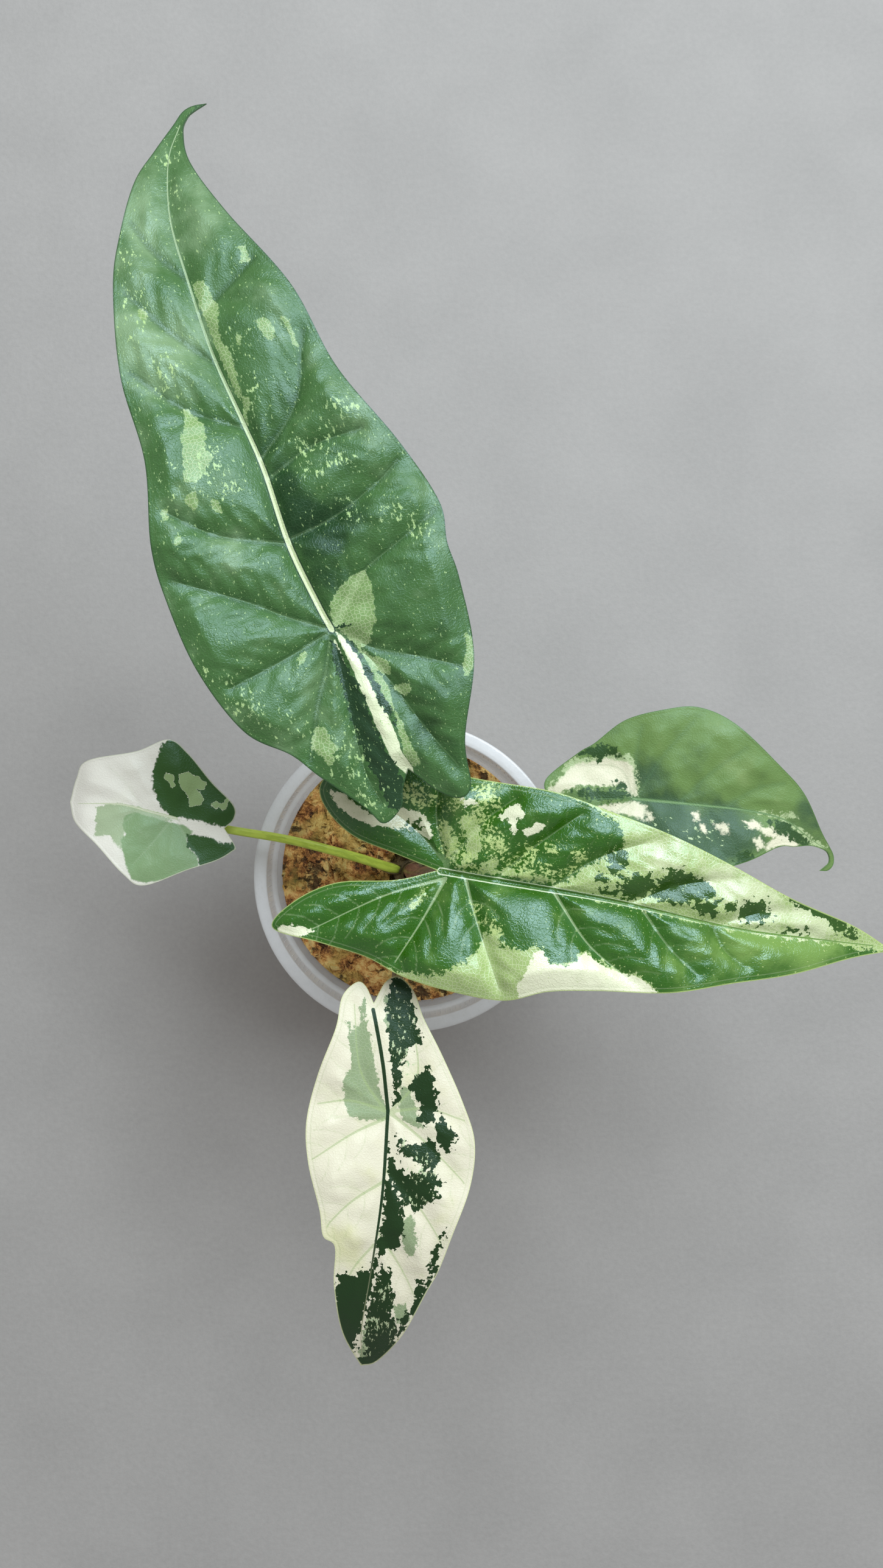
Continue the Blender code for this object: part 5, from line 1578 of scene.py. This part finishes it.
def build_stem(settings):
    """The short stem, ringed by the scars of old leaves."""
    steps = round((STEM_TOP - STEM_BOTTOM) / STEM_STEP)
    profile = [(0.0, STEM_BOTTOM)]
    for share in np.linspace(0.0, 1.0, steps):
        ring = SCAR_HEIGHT * math.sin(share * settings.scars * 2 * math.pi) ** SCAR_SHARPNESS
        shoulder = math.sqrt(min(1.0, STEM_SHOULDER * (1.0 - share)))
        width = STEM_FOOT_SHARE + STEM_WIDENING * min(1.0, STEM_WIDEST_AFTER * share)
        radius = STEM_RADIUS * width * max(STEM_CROWN_SHARE, shoulder)
        profile.append((radius + ring, STEM_BOTTOM + share * (STEM_TOP - STEM_BOTTOM)))
    profile.append((0.0, STEM_TOP))
    mesh = turned("stem_fine", profile, settings.sides, STEM_CENTRE)
    for vertex in mesh.vertices:
        outward = Vector((vertex.co.x - STEM_CENTRE[0] * MM, vertex.co.y - STEM_CENTRE[1] * MM, 0.0))
        vertex.co += outward * STEM_UNEVEN * noise.noise(vertex.co / (STEM_UNEVEN_SIZE * MM))
    return show("stem_fine", mesh, stem_paint(settings))


def build_sheath(leaf, settings, material):
    """The dry sheath that wraps the outer side of a stalk's foot and ends in a point."""
    path = through(leaf.stalk[:3], 1.0)[: round(settings.sheath_height / MM)]
    share = np.linspace(0.0, 1.0, len(path))
    reach = SHEATH_REACH * (1.0 - share**SHEATH_POINTED) + SHEATH_TIP
    ahead = np.gradient(path, axis=0)
    ahead /= np.linalg.norm(ahead, axis=1)[:, None]
    outward = np.array((leaf.stalk[0][0] - STEM_CENTRE[0], leaf.stalk[0][1] - STEM_CENTRE[1], 0.0))
    outward /= np.linalg.norm(outward)
    radius = leaf.stalk_radii[0] * (1.0 - SHEATH_TAPER * share) + SHEATH_CLEAR
    outer, inner = [], []
    columns = SHEATH_COLUMNS
    for centre, direction, wide, turn_reach in zip(path, ahead, radius, reach):
        out = outward - direction * (outward @ direction)
        out /= np.linalg.norm(out)
        side = np.cross(direction, out)
        for turn in np.linspace(-turn_reach, turn_reach, columns):
            spoke = math.cos(turn) * out + math.sin(turn) * side
            crinkle = CRINKLE * noise.noise(Vector(centre + CRINKLE_SIZE * spoke))
            outer.append(centre + spoke * (wide + SHEATH_THICKNESS + crinkle))
            inner.append(centre + spoke * (wide + crinkle))
    triangles = []
    for row in range(len(path) - 1):
        for column in range(columns - 1):
            a = row * columns + column
            triangles += [(a, a + 1, a + columns + 1), (a, a + columns + 1, a + columns)]
    name = f"sheath_{leaf.place}"
    return show(name, closed_sheet(name, outer, inner, triangles), material)


def cup_inner_radius(height):
    """The inside of the tapering wall below the stacking step."""
    floor = CUP_FLOOR_RISE + CUP_WALL
    share = (height - floor) / (CUP_STEP_HEIGHT - floor)
    return CUP_BASE_RADIUS - CUP_WALL + share * (CUP_STEP_RADIUS - CUP_BASE_RADIUS + CUP_WALL)


def cup_paint(settings):
    """Milky clear plastic with faint moulding streaks and dust."""
    paint = Paint("clear_plastic")
    streak = paint.noise(size=5.0, detail=3.0, at=paint.stretched(paint.place(), 1.0, 1.0, 0.15))
    dust = paint.noise(size=0.8, detail=3.0)
    colour = paint.mix(dust.step(0.55, 0.8) * 0.4, tuple(settings.colour), tint(222, 220, 214))
    height = paint.part(paint.place(), "Z")
    mouth, lip = (height.step(low * MM, high * MM) for low, high in (MOUTH_MILKY, LIP_MILKY))
    rim = mouth * (1.0 - LIP_SHARE) + lip * LIP_SHARE
    body = streak * 0.14 + (settings.body - 0.07) + rim * settings.rim
    return paint.done(
        Base_Color=colour,
        Alpha=body,
        Roughness=streak * 0.1 + 0.14,
        Specular_IOR_Level=0.7,
        Normal=paint.relief(streak * 0.25 + dust * 0.01),
    )


def build_cup(settings):
    """The cup: centre pad, raised floor with drains, foot, tapering wall, stacking step and skirted rim."""
    foot_inner = CUP_BASE_RADIUS - CUP_FOOT_WIDTH
    step_outer = CUP_STEP_RADIUS + CUP_WALL
    mouth_outer = CUP_MOUTH_RADIUS + CUP_WALL
    floor = CUP_FLOOR_RISE + CUP_WALL
    rounding = np.linspace(0.0, math.pi / 2, CUP_LIP_POINTS)
    lip = CUP_LIP_ROUND
    outer_lip = [
        (CUP_RIM_RADIUS - lip + lip * math.cos(t), CUP_HEIGHT - lip + lip * math.sin(t)) for t in rounding
    ]
    inner_lip = [
        (CUP_MOUTH_RADIUS + lip - lip * math.sin(t), CUP_HEIGHT - lip + lip * math.cos(t)) for t in rounding
    ]
    profile = [
        (0.0, 0.0),
        (CUP_PAD_RADIUS, 0.0),
        (CUP_PAD_RADIUS + CUP_FLOOR_SLOPE, CUP_FLOOR_RISE),
        (foot_inner - CUP_FLOOR_SLOPE, CUP_FLOOR_RISE),
        (foot_inner, 0.0),
        (CUP_BASE_RADIUS - 1.0, 0.0),
        (CUP_BASE_RADIUS - 0.3, 0.3),
        (CUP_BASE_RADIUS, 1.2),
        (step_outer, CUP_STEP_HEIGHT),
        (mouth_outer - 0.5, CUP_STEP_HEIGHT + 0.6),
        (mouth_outer - 0.2, CUP_STEP_HEIGHT + 1.8),
        (mouth_outer, CUP_HEIGHT - CUP_WALL - 1.0),
        (mouth_outer + 0.6, CUP_HEIGHT - CUP_WALL),
        (CUP_RIM_RADIUS - CUP_WALL, CUP_HEIGHT - CUP_WALL),
        (CUP_RIM_RADIUS - CUP_WALL, CUP_HEIGHT - CUP_SKIRT),
        (CUP_RIM_RADIUS - 0.2, CUP_HEIGHT - CUP_SKIRT),
        *outer_lip,
        *inner_lip,
        (CUP_MOUTH_RADIUS - 0.4, CUP_STEP_HEIGHT + 2.0),
        (CUP_MOUTH_RADIUS - 0.7, CUP_STEP_HEIGHT + 1.0),
        (CUP_STEP_RADIUS + 0.5, CUP_STEP_HEIGHT + 0.2),
        (CUP_STEP_RADIUS, CUP_STEP_HEIGHT - 0.5),
        (cup_inner_radius(floor + 1.5), floor + 1.5),
        (cup_inner_radius(floor) - 1.2, floor),
        (0.0, floor),
    ]
    mesh = turned("nursery_cup", profile, settings.sides)
    cup = show("nursery_cup", mesh, cup_paint(settings))
    drains = bmesh.new()
    for number in range(DRAIN_COUNT):
        turn = 2 * math.pi * (number + 0.5) / DRAIN_COUNT
        across = Vector((DRAIN_CIRCLE * math.cos(turn), DRAIN_CIRCLE * math.sin(turn), 0.0)) * MM
        hole = bmesh.ops.create_cone(
            drains,
            cap_ends=True,
            segments=DRAIN_SIDES,
            radius1=DRAIN_RADIUS * MM,
            radius2=DRAIN_RADIUS * MM,
            depth=DRAIN_CUT * MM,
        )
        bmesh.ops.translate(drains, verts=hole["verts"], vec=across)
    cutters = add_object("drain_cutters", mesh_from("drain_cutters", drains))
    boolean = cup.modifiers.new("drains", "BOOLEAN")
    boolean.operation = "DIFFERENCE"
    boolean.object = cutters
    cup.data = applied(cup)
    bpy.data.objects.remove(cutters)
    return cup


def build_ribs(settings, material):
    """The fine upright ribs that grip a lid, round the inside of the mouth above the step."""
    turns = np.linspace(0.0, 2 * math.pi, settings.ribs, endpoint=False)
    radius = CUP_MOUTH_RADIUS - LID_RIB_SUNK
    level = CUP_STEP_HEIGHT + LID_RIB_RISE
    points = [(radius * math.cos(t), radius * math.sin(t), level) for t in turns]
    ring = mesh_of("rib_ring", points, [])
    tree = Arrangement(
        "lid_ribs",
        Length=("Float", LID_RIB_LENGTH * MM),
        Width=("Float", LID_RIB_WIDTH * MM),
        Material=("Material", material),
    )
    dots = tree.node("GeometryNodeMeshToPoints", {}, {"Mesh": tree.given("Geometry")})
    rib = tree.node(
        "GeometryNodeMeshCone",
        {"fill_type": "TRIANGLE_FAN"},
        {
            "Vertices": LID_RIB_SIDES,
            "Radius Top": tree.given("Width") * LID_RIB_TAPER,
            "Radius Bottom": tree.given("Width"),
            "Depth": tree.given("Length"),
        },
    )
    copies = tree.node("GeometryNodeInstanceOnPoints", {}, {"Points": dots, "Instance": rib})
    return show("lid_ribs", tree.used_on(ring, copies, tree.given("Material")), material)


def lump_heights(points):
    """The lumps of moss and the bark chips that stand up from the mix, at plan points."""
    draw = random.Random(MIX_SEED)
    height = np.zeros(len(points))
    for _ in range(MIX_LUMPS):
        distance = CUP_STEP_RADIUS * math.sqrt(draw.random())
        place = draw.uniform(0.0, 2 * math.pi)
        turn = draw.uniform(0.0, math.pi)
        radius = draw.uniform(*MIX_LUMP_RADIUS)
        tall = draw.uniform(*MIX_LUMP_HEIGHT)
        slim = draw.uniform(*MIX_LUMP_SLIMNESS)
        offset = points - (distance * math.cos(place), distance * math.sin(place))
        length = offset @ (math.cos(turn), math.sin(turn)) / radius
        width = offset @ (-math.sin(turn), math.cos(turn)) / (radius * slim)
        dome = np.clip(1.0 - length**2 - width**2, 0.0, 1.0)
        height = np.maximum(height, tall * np.sqrt(dome))
    return height


def mix_paint(name, settings):
    """Moss, bark or crumbs: five earthy colours, picked by each bit's own shade and by noise, and painted
    shade in gaps and sides.
    """
    paint = Paint(name)
    clump = paint.noise(size=7.0, detail=5.0, roughness=0.6).step(0.34, 0.66)
    grain = paint.noise(size=0.8, detail=3.0, roughness=0.7)
    shade = paint.read("shade") * OWN_SHADE + clump * (1.0 - OWN_SHADE) + (grain - 0.5) * 1.1
    bark = [tint(40, 24, 12), tint(136, 84, 40), tint(208, 148, 80), tint(238, 196, 122)]
    colour = paint.ramp(shade, [*bark, tuple(settings.moss)])
    mossy = paint.noise(size=15.0, detail=3.0).step(0.44, 0.58)
    colour = paint.mix(mossy * 0.5, colour, tint(176, 160, 78))
    # Painted shade in the gaps between bits, which are dented in the relief as well
    shaded_crevice = paint.noise(size=6.5, detail=4.0, roughness=0.6).step(0.46, 0.36)
    colour = paint.mix(shaded_crevice * 0.85, colour, tint(34, 20, 8))
    # Painted shade: the mix darker from 3 to 9 mm below its top, down its sides inside the cup
    painted_shade_below_top = paint.part(paint.place(), "Z").step((MIX_TOP - 3.0) * MM, (MIX_TOP - 9.0) * MM)
    colour = paint.mix(painted_shade_below_top * 0.55, colour, tint(70, 44, 22))
    height = clump * 0.4 + grain * 0.5 - shaded_crevice * 1.5
    return paint.done(Base_Color=colour, Roughness=grain * 0.2 + 0.7, Normal=paint.relief(height))


def mix_top(plan, share, edge_calm):
    """The heights of the mix's top at plan points that lie a share of the way out, calmed near the edge."""
    places = [(x * CRUMB_PITCH, y * CRUMB_PITCH, CRUMB_LAYER) for x, y in plan]
    crumbs = [CRUMB_HEIGHT * noise.fractal(place, *CRUMB_FRACTAL) for place in places]
    return MIX_TOP - MIX_EDGE_DROP * share**2 + (lump_heights(plan) + crumbs) * edge_calm


def bump_depths(wall, height):
    """How deep the mix's wall dips in at plan points round it."""
    places = [(x * BUMP_PITCH, y * BUMP_PITCH, height * BUMP_PITCH) for x, y in wall]
    return np.array([max(0.0, BUMP_DEPTH * noise.noise(place) + BUMP_SHARE) for place in places])


def build_mix(settings):
    """The plug of mix with its lumpy top, closed all round."""
    sides = settings.sides
    hole = STEM_RADIUS + GAP
    edge = cup_inner_radius(MIX_TOP) - GAP
    turns = np.linspace(0.0, 2 * math.pi, sides, endpoint=False)
    circle = np.stack([np.cos(turns), np.sin(turns)], axis=1)
    stem = np.array(STEM_CENTRE)
    bottom = CUP_FLOOR_RISE + CUP_WALL + GAP
    rings = [np.column_stack([stem + circle * (hole - 2 * HOLE_LIP), np.full(sides, STEM_BOTTOM)])]
    for share in np.linspace(0.0, 1.0, settings.rings):
        plan = stem * (1.0 - share) + circle * (hole - HOLE_LIP + share * (edge - hole + HOLE_LIP))
        rings.append(np.column_stack([plan, mix_top(plan, share, min(1.0, MIX_EDGE_CALM * (1.0 - share)))]))
    wall_top = MIX_TOP - MIX_EDGE_DROP - WALL_TOP_DROP
    for height in np.linspace(wall_top, bottom, round(settings.rings * WALL_RINGS)):
        wall = circle * (cup_inner_radius(height) - GAP)
        dips = bump_depths(wall, height)[:, None]
        rings.append(np.column_stack([wall * (1.0 - dips / edge), np.full(sides, height)]))
    points = [(*STEM_CENTRE, STEM_BOTTOM), *np.concatenate(rings), (0.0, 0.0, bottom)]
    mesh = mesh_of("mix_body", points, body_faces(len(rings), sides, turned_over=True))
    shades = [SHADE_MEAN + SHADE_SWING * noise.noise(v.co / (SHADE_SIZE * MM)) for v in mesh.vertices]
    store(mesh, "shade", shades)
    return show("mix_body", mesh, mix_paint("mix_crumbs", settings))


def mix_surface(body):
    """The mix's top and wall alone, where loose bits lie."""
    net = bmesh.new()
    net.from_mesh(body.data)
    lowest, inmost = GROUND_LOWEST * MM, GROUND_INNER_RADIUS * MM
    hidden = [f for f in net.faces if f.normal.z < GROUND_LEAST_FACING or f.calc_center_median().z < lowest]
    inner = [f for f in net.faces if f.calc_center_median().xy.length < inmost]
    bmesh.ops.delete(net, geom=list({*hidden, *inner}), context="FACES")
    return mesh_from("mix_surface", net)


def chip_shape(number):
    """A flat angular chip of bark, at most 2 mm long before it is sized."""
    draw = random.Random(CHIP_SEED + number)
    net = bmesh.new()
    for _ in range(CHIP_CORNERS):
        turn = draw.uniform(0.0, 2 * math.pi)
        reach = draw.uniform(*CHIP_REACH)
        level = draw.uniform(-CHIP_THICKNESS, CHIP_THICKNESS)
        net.verts.new(Vector((math.cos(turn) * reach, math.sin(turn) * reach * CHIP_SLIMNESS, level)) * MM)
    hull = bmesh.ops.convex_hull(net, input=net.verts)
    bmesh.ops.delete(net, geom=hull["geom_interior"], context="VERTS")
    bmesh.ops.recalc_face_normals(net, faces=net.faces)
    return mesh_from(f"chip_{number}", net)


def strand_shape(number):
    """A curly strand of moss, a few millimetres long."""
    draw = random.Random(STRAND_SEED + number)
    knots = [np.array((0.0, 0.0, 0.0))]
    for _ in range(STRAND_STEPS):
        curl = draw.uniform(-STRAND_CURL, STRAND_CURL)
        lift = draw.uniform(-STRAND_LIFT, STRAND_LIFT)
        knots.append(knots[-1] + np.array((1.0, curl, lift)))
    path = through(knots, STRAND_SPACING)
    radii = STRAND_RADIUS * (1.0 - STRAND_TAPER * np.linspace(0.0, 1.0, len(path)))
    rings = rings_along(path, radii, STRAND_SIDES)
    points = [path[0], *(point for ring in rings for point in ring), path[-1]]
    return mesh_of(f"strand_{number}", points, body_faces(len(rings), STRAND_SIDES))


def strewn(name, ground, shapes, material, density, size, lean, seed):
    """Copies of the shapes strewn over the ground, each with its own turn, size and shade."""
    pile = bpy.data.collections.new(name)
    samples = [bpy.data.objects.new(shape.name, shape) for shape in shapes]
    for sample in samples:
        pile.objects.link(sample)
    tree = Arrangement(
        name,
        Shapes=("Collection", pile),
        Density=("Float", density),
        Least=("Float", size[0]),
        Greatest=("Float", size[1]),
        Lean=("Float", lean),
        Seed=("Int", seed),
        Material=("Material", material),
    )
    seed_in = tree.given("Seed")
    spots = tree.node(
        "GeometryNodeDistributePointsOnFaces",
        {},
        {"Mesh": tree.given("Geometry"), "Density": tree.given("Density"), "Seed": seed_in},
    )
    upright = Signal(tree, spots.socket.node.outputs["Rotation"])
    angle = tree.given("Lean")
    lowest = tree.node("ShaderNodeCombineXYZ", {}, {"X": angle * -1.0, "Y": angle * -1.0, "Z": 0.0})
    highest = tree.node("ShaderNodeCombineXYZ", {}, {"X": angle, "Y": angle, "Z": 2 * math.pi})
    turn = tree.scattered(lowest, highest, seed_in, vector=True)
    turn = tree.node("FunctionNodeEulerToRotation", {}, {"Euler": turn})
    turned_by = {"Rotation": upright, "Rotate By": turn}
    turn = tree.node("FunctionNodeRotateRotation", {"rotation_space": "LOCAL"}, turned_by)
    large = tree.scattered(tree.given("Least"), tree.given("Greatest"), seed_in)
    shapes_in = tree.node(
        "GeometryNodeCollectionInfo",
        {},
        {"Collection": tree.given("Shapes"), "Separate Children": True, "Reset Children": True},
    )
    copies = tree.node(
        "GeometryNodeInstanceOnPoints",
        {},
        {"Points": spots, "Instance": shapes_in, "Pick Instance": True, "Rotation": turn, "Scale": large},
    )
    shaded = tree.node(
        "GeometryNodeStoreNamedAttribute",
        {"data_type": "FLOAT", "domain": "INSTANCE"},
        {"Geometry": copies, "Name": "shade", "Value": tree.scattered(0.0, 1.0, seed_in)},
    )
    mesh = tree.used_on(ground, shaded, tree.given("Material"))
    for sample in samples:
        bpy.data.objects.remove(sample)
    bpy.data.collections.remove(pile)
    press_in(mesh)
    return show(name, mesh, material)


def press_in(mesh):
    """Presses loose bits flat where they would poke through the cup's wall."""
    places = np.empty(len(mesh.vertices) * 3, np.float32)
    mesh.vertices.foreach_get("co", places)
    places = places.reshape(-1, 3)
    reach = np.linalg.norm(places[:, :2], axis=1) / MM
    height = np.clip(places[:, 2] / MM, 0.0, CUP_STEP_HEIGHT)
    room = cup_inner_radius(height) - GAP / 2
    places[:, :2] *= np.minimum(1.0, room / np.maximum(reach, 1.0))[:, None]
    mesh.vertices.foreach_set("co", places.ravel())
    mesh.update()


def amount_of(name, description, default, subtype="NONE"):
    """A number among the settings."""
    return FloatProperty(name=name, description=description, subtype=subtype, default=default)


def colour_of(name, description, default):
    """A colour among the settings."""
    return FloatVectorProperty(name=name, description=description, subtype="COLOR", default=default)


class CupSettings(bpy.types.PropertyGroup):
    """The nursery cup."""

    sides: IntProperty(name="Sides", description="Facets round the cup", default=192, min=48, max=512)
    ribs: IntProperty(name="Ribs", description="Fine ribs round the inside of the mouth", default=168, min=0)
    colour: colour_of("Plastic", "Colour of the milky plastic", tint(244, 244, 246))
    body: amount_of("Milkiness", "How much of the light the plastic keeps", 0.17, "FACTOR")
    rim: amount_of("Rim milkiness", "How much more light its rim keeps", 0.46, "FACTOR")


class MixSettings(bpy.types.PropertyGroup):
    """The planting mix."""

    sides: IntProperty(name="Sides", description="Points round the mix", default=176, min=48, max=256)
    rings: IntProperty(name="Rings", description="Rings of points over the top", default=44, min=12, max=90)
    chips: amount_of("Chips", "Bark chips on a square metre", 95000.0)
    chip_size: FloatVectorProperty(
        name="Chip size", description="Least and greatest half length, in mm", size=2, default=(1.0, 3.4)
    )
    strands: amount_of("Strands", "Strands of moss on a square metre", 230000.0)
    strand_size: FloatVectorProperty(
        name="Strand size", description="Least and greatest scale of a strand", size=2, default=(0.5, 1.2)
    )
    moss: colour_of("Moss", "Colour of the dry moss", tint(230, 208, 138))


class StemSettings(bpy.types.PropertyGroup):
    """The short stem and the dry sheaths round it."""

    sides: IntProperty(name="Sides", description="Facets round the stem", default=64, min=12, max=128)
    scars: IntProperty(name="Scars", description="Rings left by old leaves", default=5, min=0, max=12)
    sheath_height: amount_of("Sheath height", "Height of the dry sheaths", 0.017, "DISTANCE")
    colour: colour_of("Sheath", "Colour of the dry sheaths", tint(92, 78, 44))


class StalkSettings(bpy.types.PropertyGroup):
    """The leafstalks."""

    sides: IntProperty(name="Sides", description="Facets round a stalk", default=24, min=8, max=64)
    step: amount_of("Step", "Distance between rings", 0.0016, "DISTANCE")
    groove: amount_of("Groove", "Depth of the groove, as a share", 0.22, "FACTOR")
    back: colour_of("Back stalk", "Its colour", BACK_LEAF.stalk_colours[0])
    right: colour_of("Right stalk", "Its colour", RIGHT_LEAF.stalk_colours[0])
    front: colour_of("Front stalk", "Its colour", FRONT_LEAF.stalk_colours[0])
    left: colour_of("Left stalk", "Its colour", LEFT_LEAF.stalk_colours[0])
    under: colour_of("Under stalk", "Its colour", UNDER_LEAF.stalk_colours[0])


class BladeSettings(bpy.types.PropertyGroup):
    """The leaf blades."""

    net: amount_of("Net", "Spacing of a blade's points", 0.0008, "DISTANCE")
    thickness: amount_of("Thickness", "Of a blade", 0.0006, "DISTANCE")
    pucker: amount_of("Pucker", "Height of the fine swells between veins", 0.0005, "DISTANCE")
    back: colour_of("Back leaf", "Its ground colour", BACK_LEAF.skin.green)
    right: colour_of("Right leaf", "Its ground colour", RIGHT_LEAF.skin.green)
    front: colour_of("Front leaf", "Its ground colour", FRONT_LEAF.skin.green)
    left: colour_of("Left leaf", "Its ground colour", LEFT_LEAF.skin.green)
    under: colour_of("Under leaf", "Its ground colour", UNDER_LEAF.skin.green)


class StageSettings(bpy.types.PropertyGroup):
    """The floor, the lights and the camera."""

    floor: colour_of("Floor", "Colour of the floor", tint(160, 156, 153))
    lamp: amount_of("Lamp", "Power of the large soft lamp", 48.0, "POWER")
    sky: amount_of("Fill", "Strength of the light from all round", 0.36)


class PLANT_OT_cup(bpy.types.Operator):
    """Builds the clear nursery cup and its ribs"""

    bl_idname = "plant.cup"
    bl_label = "Cup"

    def execute(self, context):
        settings = context.scene.plant_cup
        cup = build_cup(settings)
        hand_over(cup, "clear_cup", "cup")
        hand_over(build_ribs(settings, cup.data.materials[0]), "clear_cup")
        return {"FINISHED"}


class PLANT_OT_mix(bpy.types.Operator):
    """Builds the planting mix, and strews bark chips and moss over it"""

    bl_idname = "plant.mix"
    bl_label = "Planting mix"

    def execute(self, context):
        settings = context.scene.plant_mix
        body = build_mix(settings)
        ground = mix_surface(body)
        bits = mix_paint("mix_bits", settings)
        chips = [chip_shape(number) for number in range(BIT_KINDS)]
        strands = [strand_shape(number) for number in range(BIT_KINDS)]
        chip_rules = (settings.chips, settings.chip_size, CHIP_LEAN, CHIP_STREWING)
        strand_rules = (settings.strands, settings.strand_size, STRAND_LEAN, STRAND_STREWING)
        loose = [
            strewn("bark_chips", ground, chips, bits, *chip_rules),
            strewn("moss_strands", ground, strands, bits, *strand_rules),
        ]
        hand_over(body, "moss_and_bark", "planting_mix")
        for piece in loose:
            hand_over(piece, "moss_and_bark")
        return {"FINISHED"}


class PLANT_OT_stem(bpy.types.Operator):
    """Builds the short stem and the dry sheaths at the stalks' feet"""

    bl_idname = "plant.stem"
    bl_label = "Stem"

    def execute(self, context):
        settings = context.scene.plant_stem
        stem = build_stem(settings)
        hand_over(stem, "stem_skin", "stem")
        for leaf in LEAVES:
            hand_over(build_sheath(leaf, settings, stem.data.materials[0]), "stem_skin")
        return {"FINISHED"}


class PLANT_OT_leaves(bpy.types.Operator):
    """Builds the five blades, and the stalks that carry them"""

    bl_idname = "plant.leaves"
    bl_label = "Leaves"

    def execute(self, context):
        for leaf in LEAVES:
            blade = build_blade(leaf, context.scene.plant_blades)
            stalk = build_stalk(leaf, blade, context.scene.plant_stalks)
            hand_over(blade, leaf.blade_slot, f"leaf_{leaf.place}")
            hand_over(stalk, leaf.stalk_slot, f"stalk_{leaf.place}")
        return {"FINISHED"}


def build_floor(settings):
    """A wide pale floor with faint clouds and grain."""
    half = FLOOR_HALF
    corners = [(-half, -half, 0), (half, -half, 0), (half, half, 0), (-half, half, 0)]
    paint = Paint("pale_floor")
    cloud = paint.noise(size=60.0, detail=4.0)
    grain = paint.noise(size=2.5, detail=4.0, roughness=0.7)
    dark, light = (tuple(share * c for c in settings.floor) for share in (FLOOR_DARK, FLOOR_LIGHT))
    colour = paint.mix(cloud * 0.5 + grain * 0.5, dark, light)
    material = paint.done(Base_Color=colour, Roughness=grain * 0.1 + 0.6, Normal=paint.relief(grain * 0.15))
    return show("floor", mesh_of("floor", corners, [(0, 1, 2, 3)]), material)


def add_lights(settings):
    """One large soft lamp like a window, and even light from all round."""
    lamp = bpy.data.lights.new("window", "AREA")
    lamp.energy = settings.lamp
    lamp.shape = "RECTANGLE"
    lamp.size, lamp.size_y = LAMP_SIZE
    lamp.color = LAMP_COLOUR
    window = add_object("window", lamp)
    window.location = LAMP_PLACE
    window.rotation_euler = (LAMP_AIM - window.location).to_track_quat("-Z", "Y").to_euler()
    world = bpy.data.worlds.new("soft_room")
    world.use_nodes = True
    background = world.node_tree.nodes["Background"]
    background.inputs["Color"].default_value = ROOM_COLOUR
    background.inputs["Strength"].default_value = settings.sky
    bpy.context.scene.world = world


def add_camera():
    """The camera straight above the plant."""
    camera = bpy.data.cameras.new("camera")
    camera.lens = LENS
    camera.sensor_width = SENSOR
    viewer = add_object("camera", camera)
    viewer.location = Vector(EYE) * MM
    bpy.context.scene.camera = viewer


class PLANT_OT_stage(bpy.types.Operator):
    """Adds the pale floor, the soft light and the camera"""

    bl_idname = "plant.stage"
    bl_label = "Stage"

    def execute(self, context):
        settings = context.scene.plant_stage
        floor = build_floor(settings)
        add_lights(settings)
        context.scene.view_settings.view_transform = "Standard"
        add_camera()
        return {"FINISHED"}


class PLANT_PT_panel(bpy.types.Panel):
    """The plant's sizes, colours and pieces"""

    bl_label = "Potted alocasia"
    bl_space_type = "VIEW_3D"
    bl_region_type = "UI"
    bl_category = "Plant"

    def draw(self, context):
        for operator, groups in PIECES:
            box = self.layout.box()
            box.operator(operator.bl_idname)
            for group in groups:
                settings = getattr(context.scene, group)
                for field in settings.__annotations__:
                    box.prop(settings, field)


GROUPS = {
    "plant_cup": CupSettings,
    "plant_mix": MixSettings,
    "plant_stem": StemSettings,
    "plant_stalks": StalkSettings,
    "plant_blades": BladeSettings,
    "plant_stage": StageSettings,
}
PIECES = (
    (PLANT_OT_cup, ("plant_cup",)),
    (PLANT_OT_mix, ("plant_mix",)),
    (PLANT_OT_stem, ("plant_stem",)),
    (PLANT_OT_leaves, ("plant_blades", "plant_stalks")),
    (PLANT_OT_stage, ("plant_stage",)),
)


def register():
    for name, group in GROUPS.items():
        bpy.utils.register_class(group)
        setattr(bpy.types.Scene, name, PointerProperty(type=group))
    for operator, _ in PIECES:
        bpy.utils.register_class(operator)
    bpy.utils.register_class(PLANT_PT_panel)


def unregister():
    bpy.utils.unregister_class(PLANT_PT_panel)
    for operator, _ in reversed(PIECES):
        bpy.utils.unregister_class(operator)
    for name, group in reversed(GROUPS.items()):
        delattr(bpy.types.Scene, name)
        bpy.utils.unregister_class(group)


def main():
    register()
    bpy.ops.plant.stage()
    bpy.ops.plant.cup()
    bpy.ops.plant.mix()
    bpy.ops.plant.stem()
    bpy.ops.plant.leaves()
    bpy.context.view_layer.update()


if __name__ == "__main__":
    main()
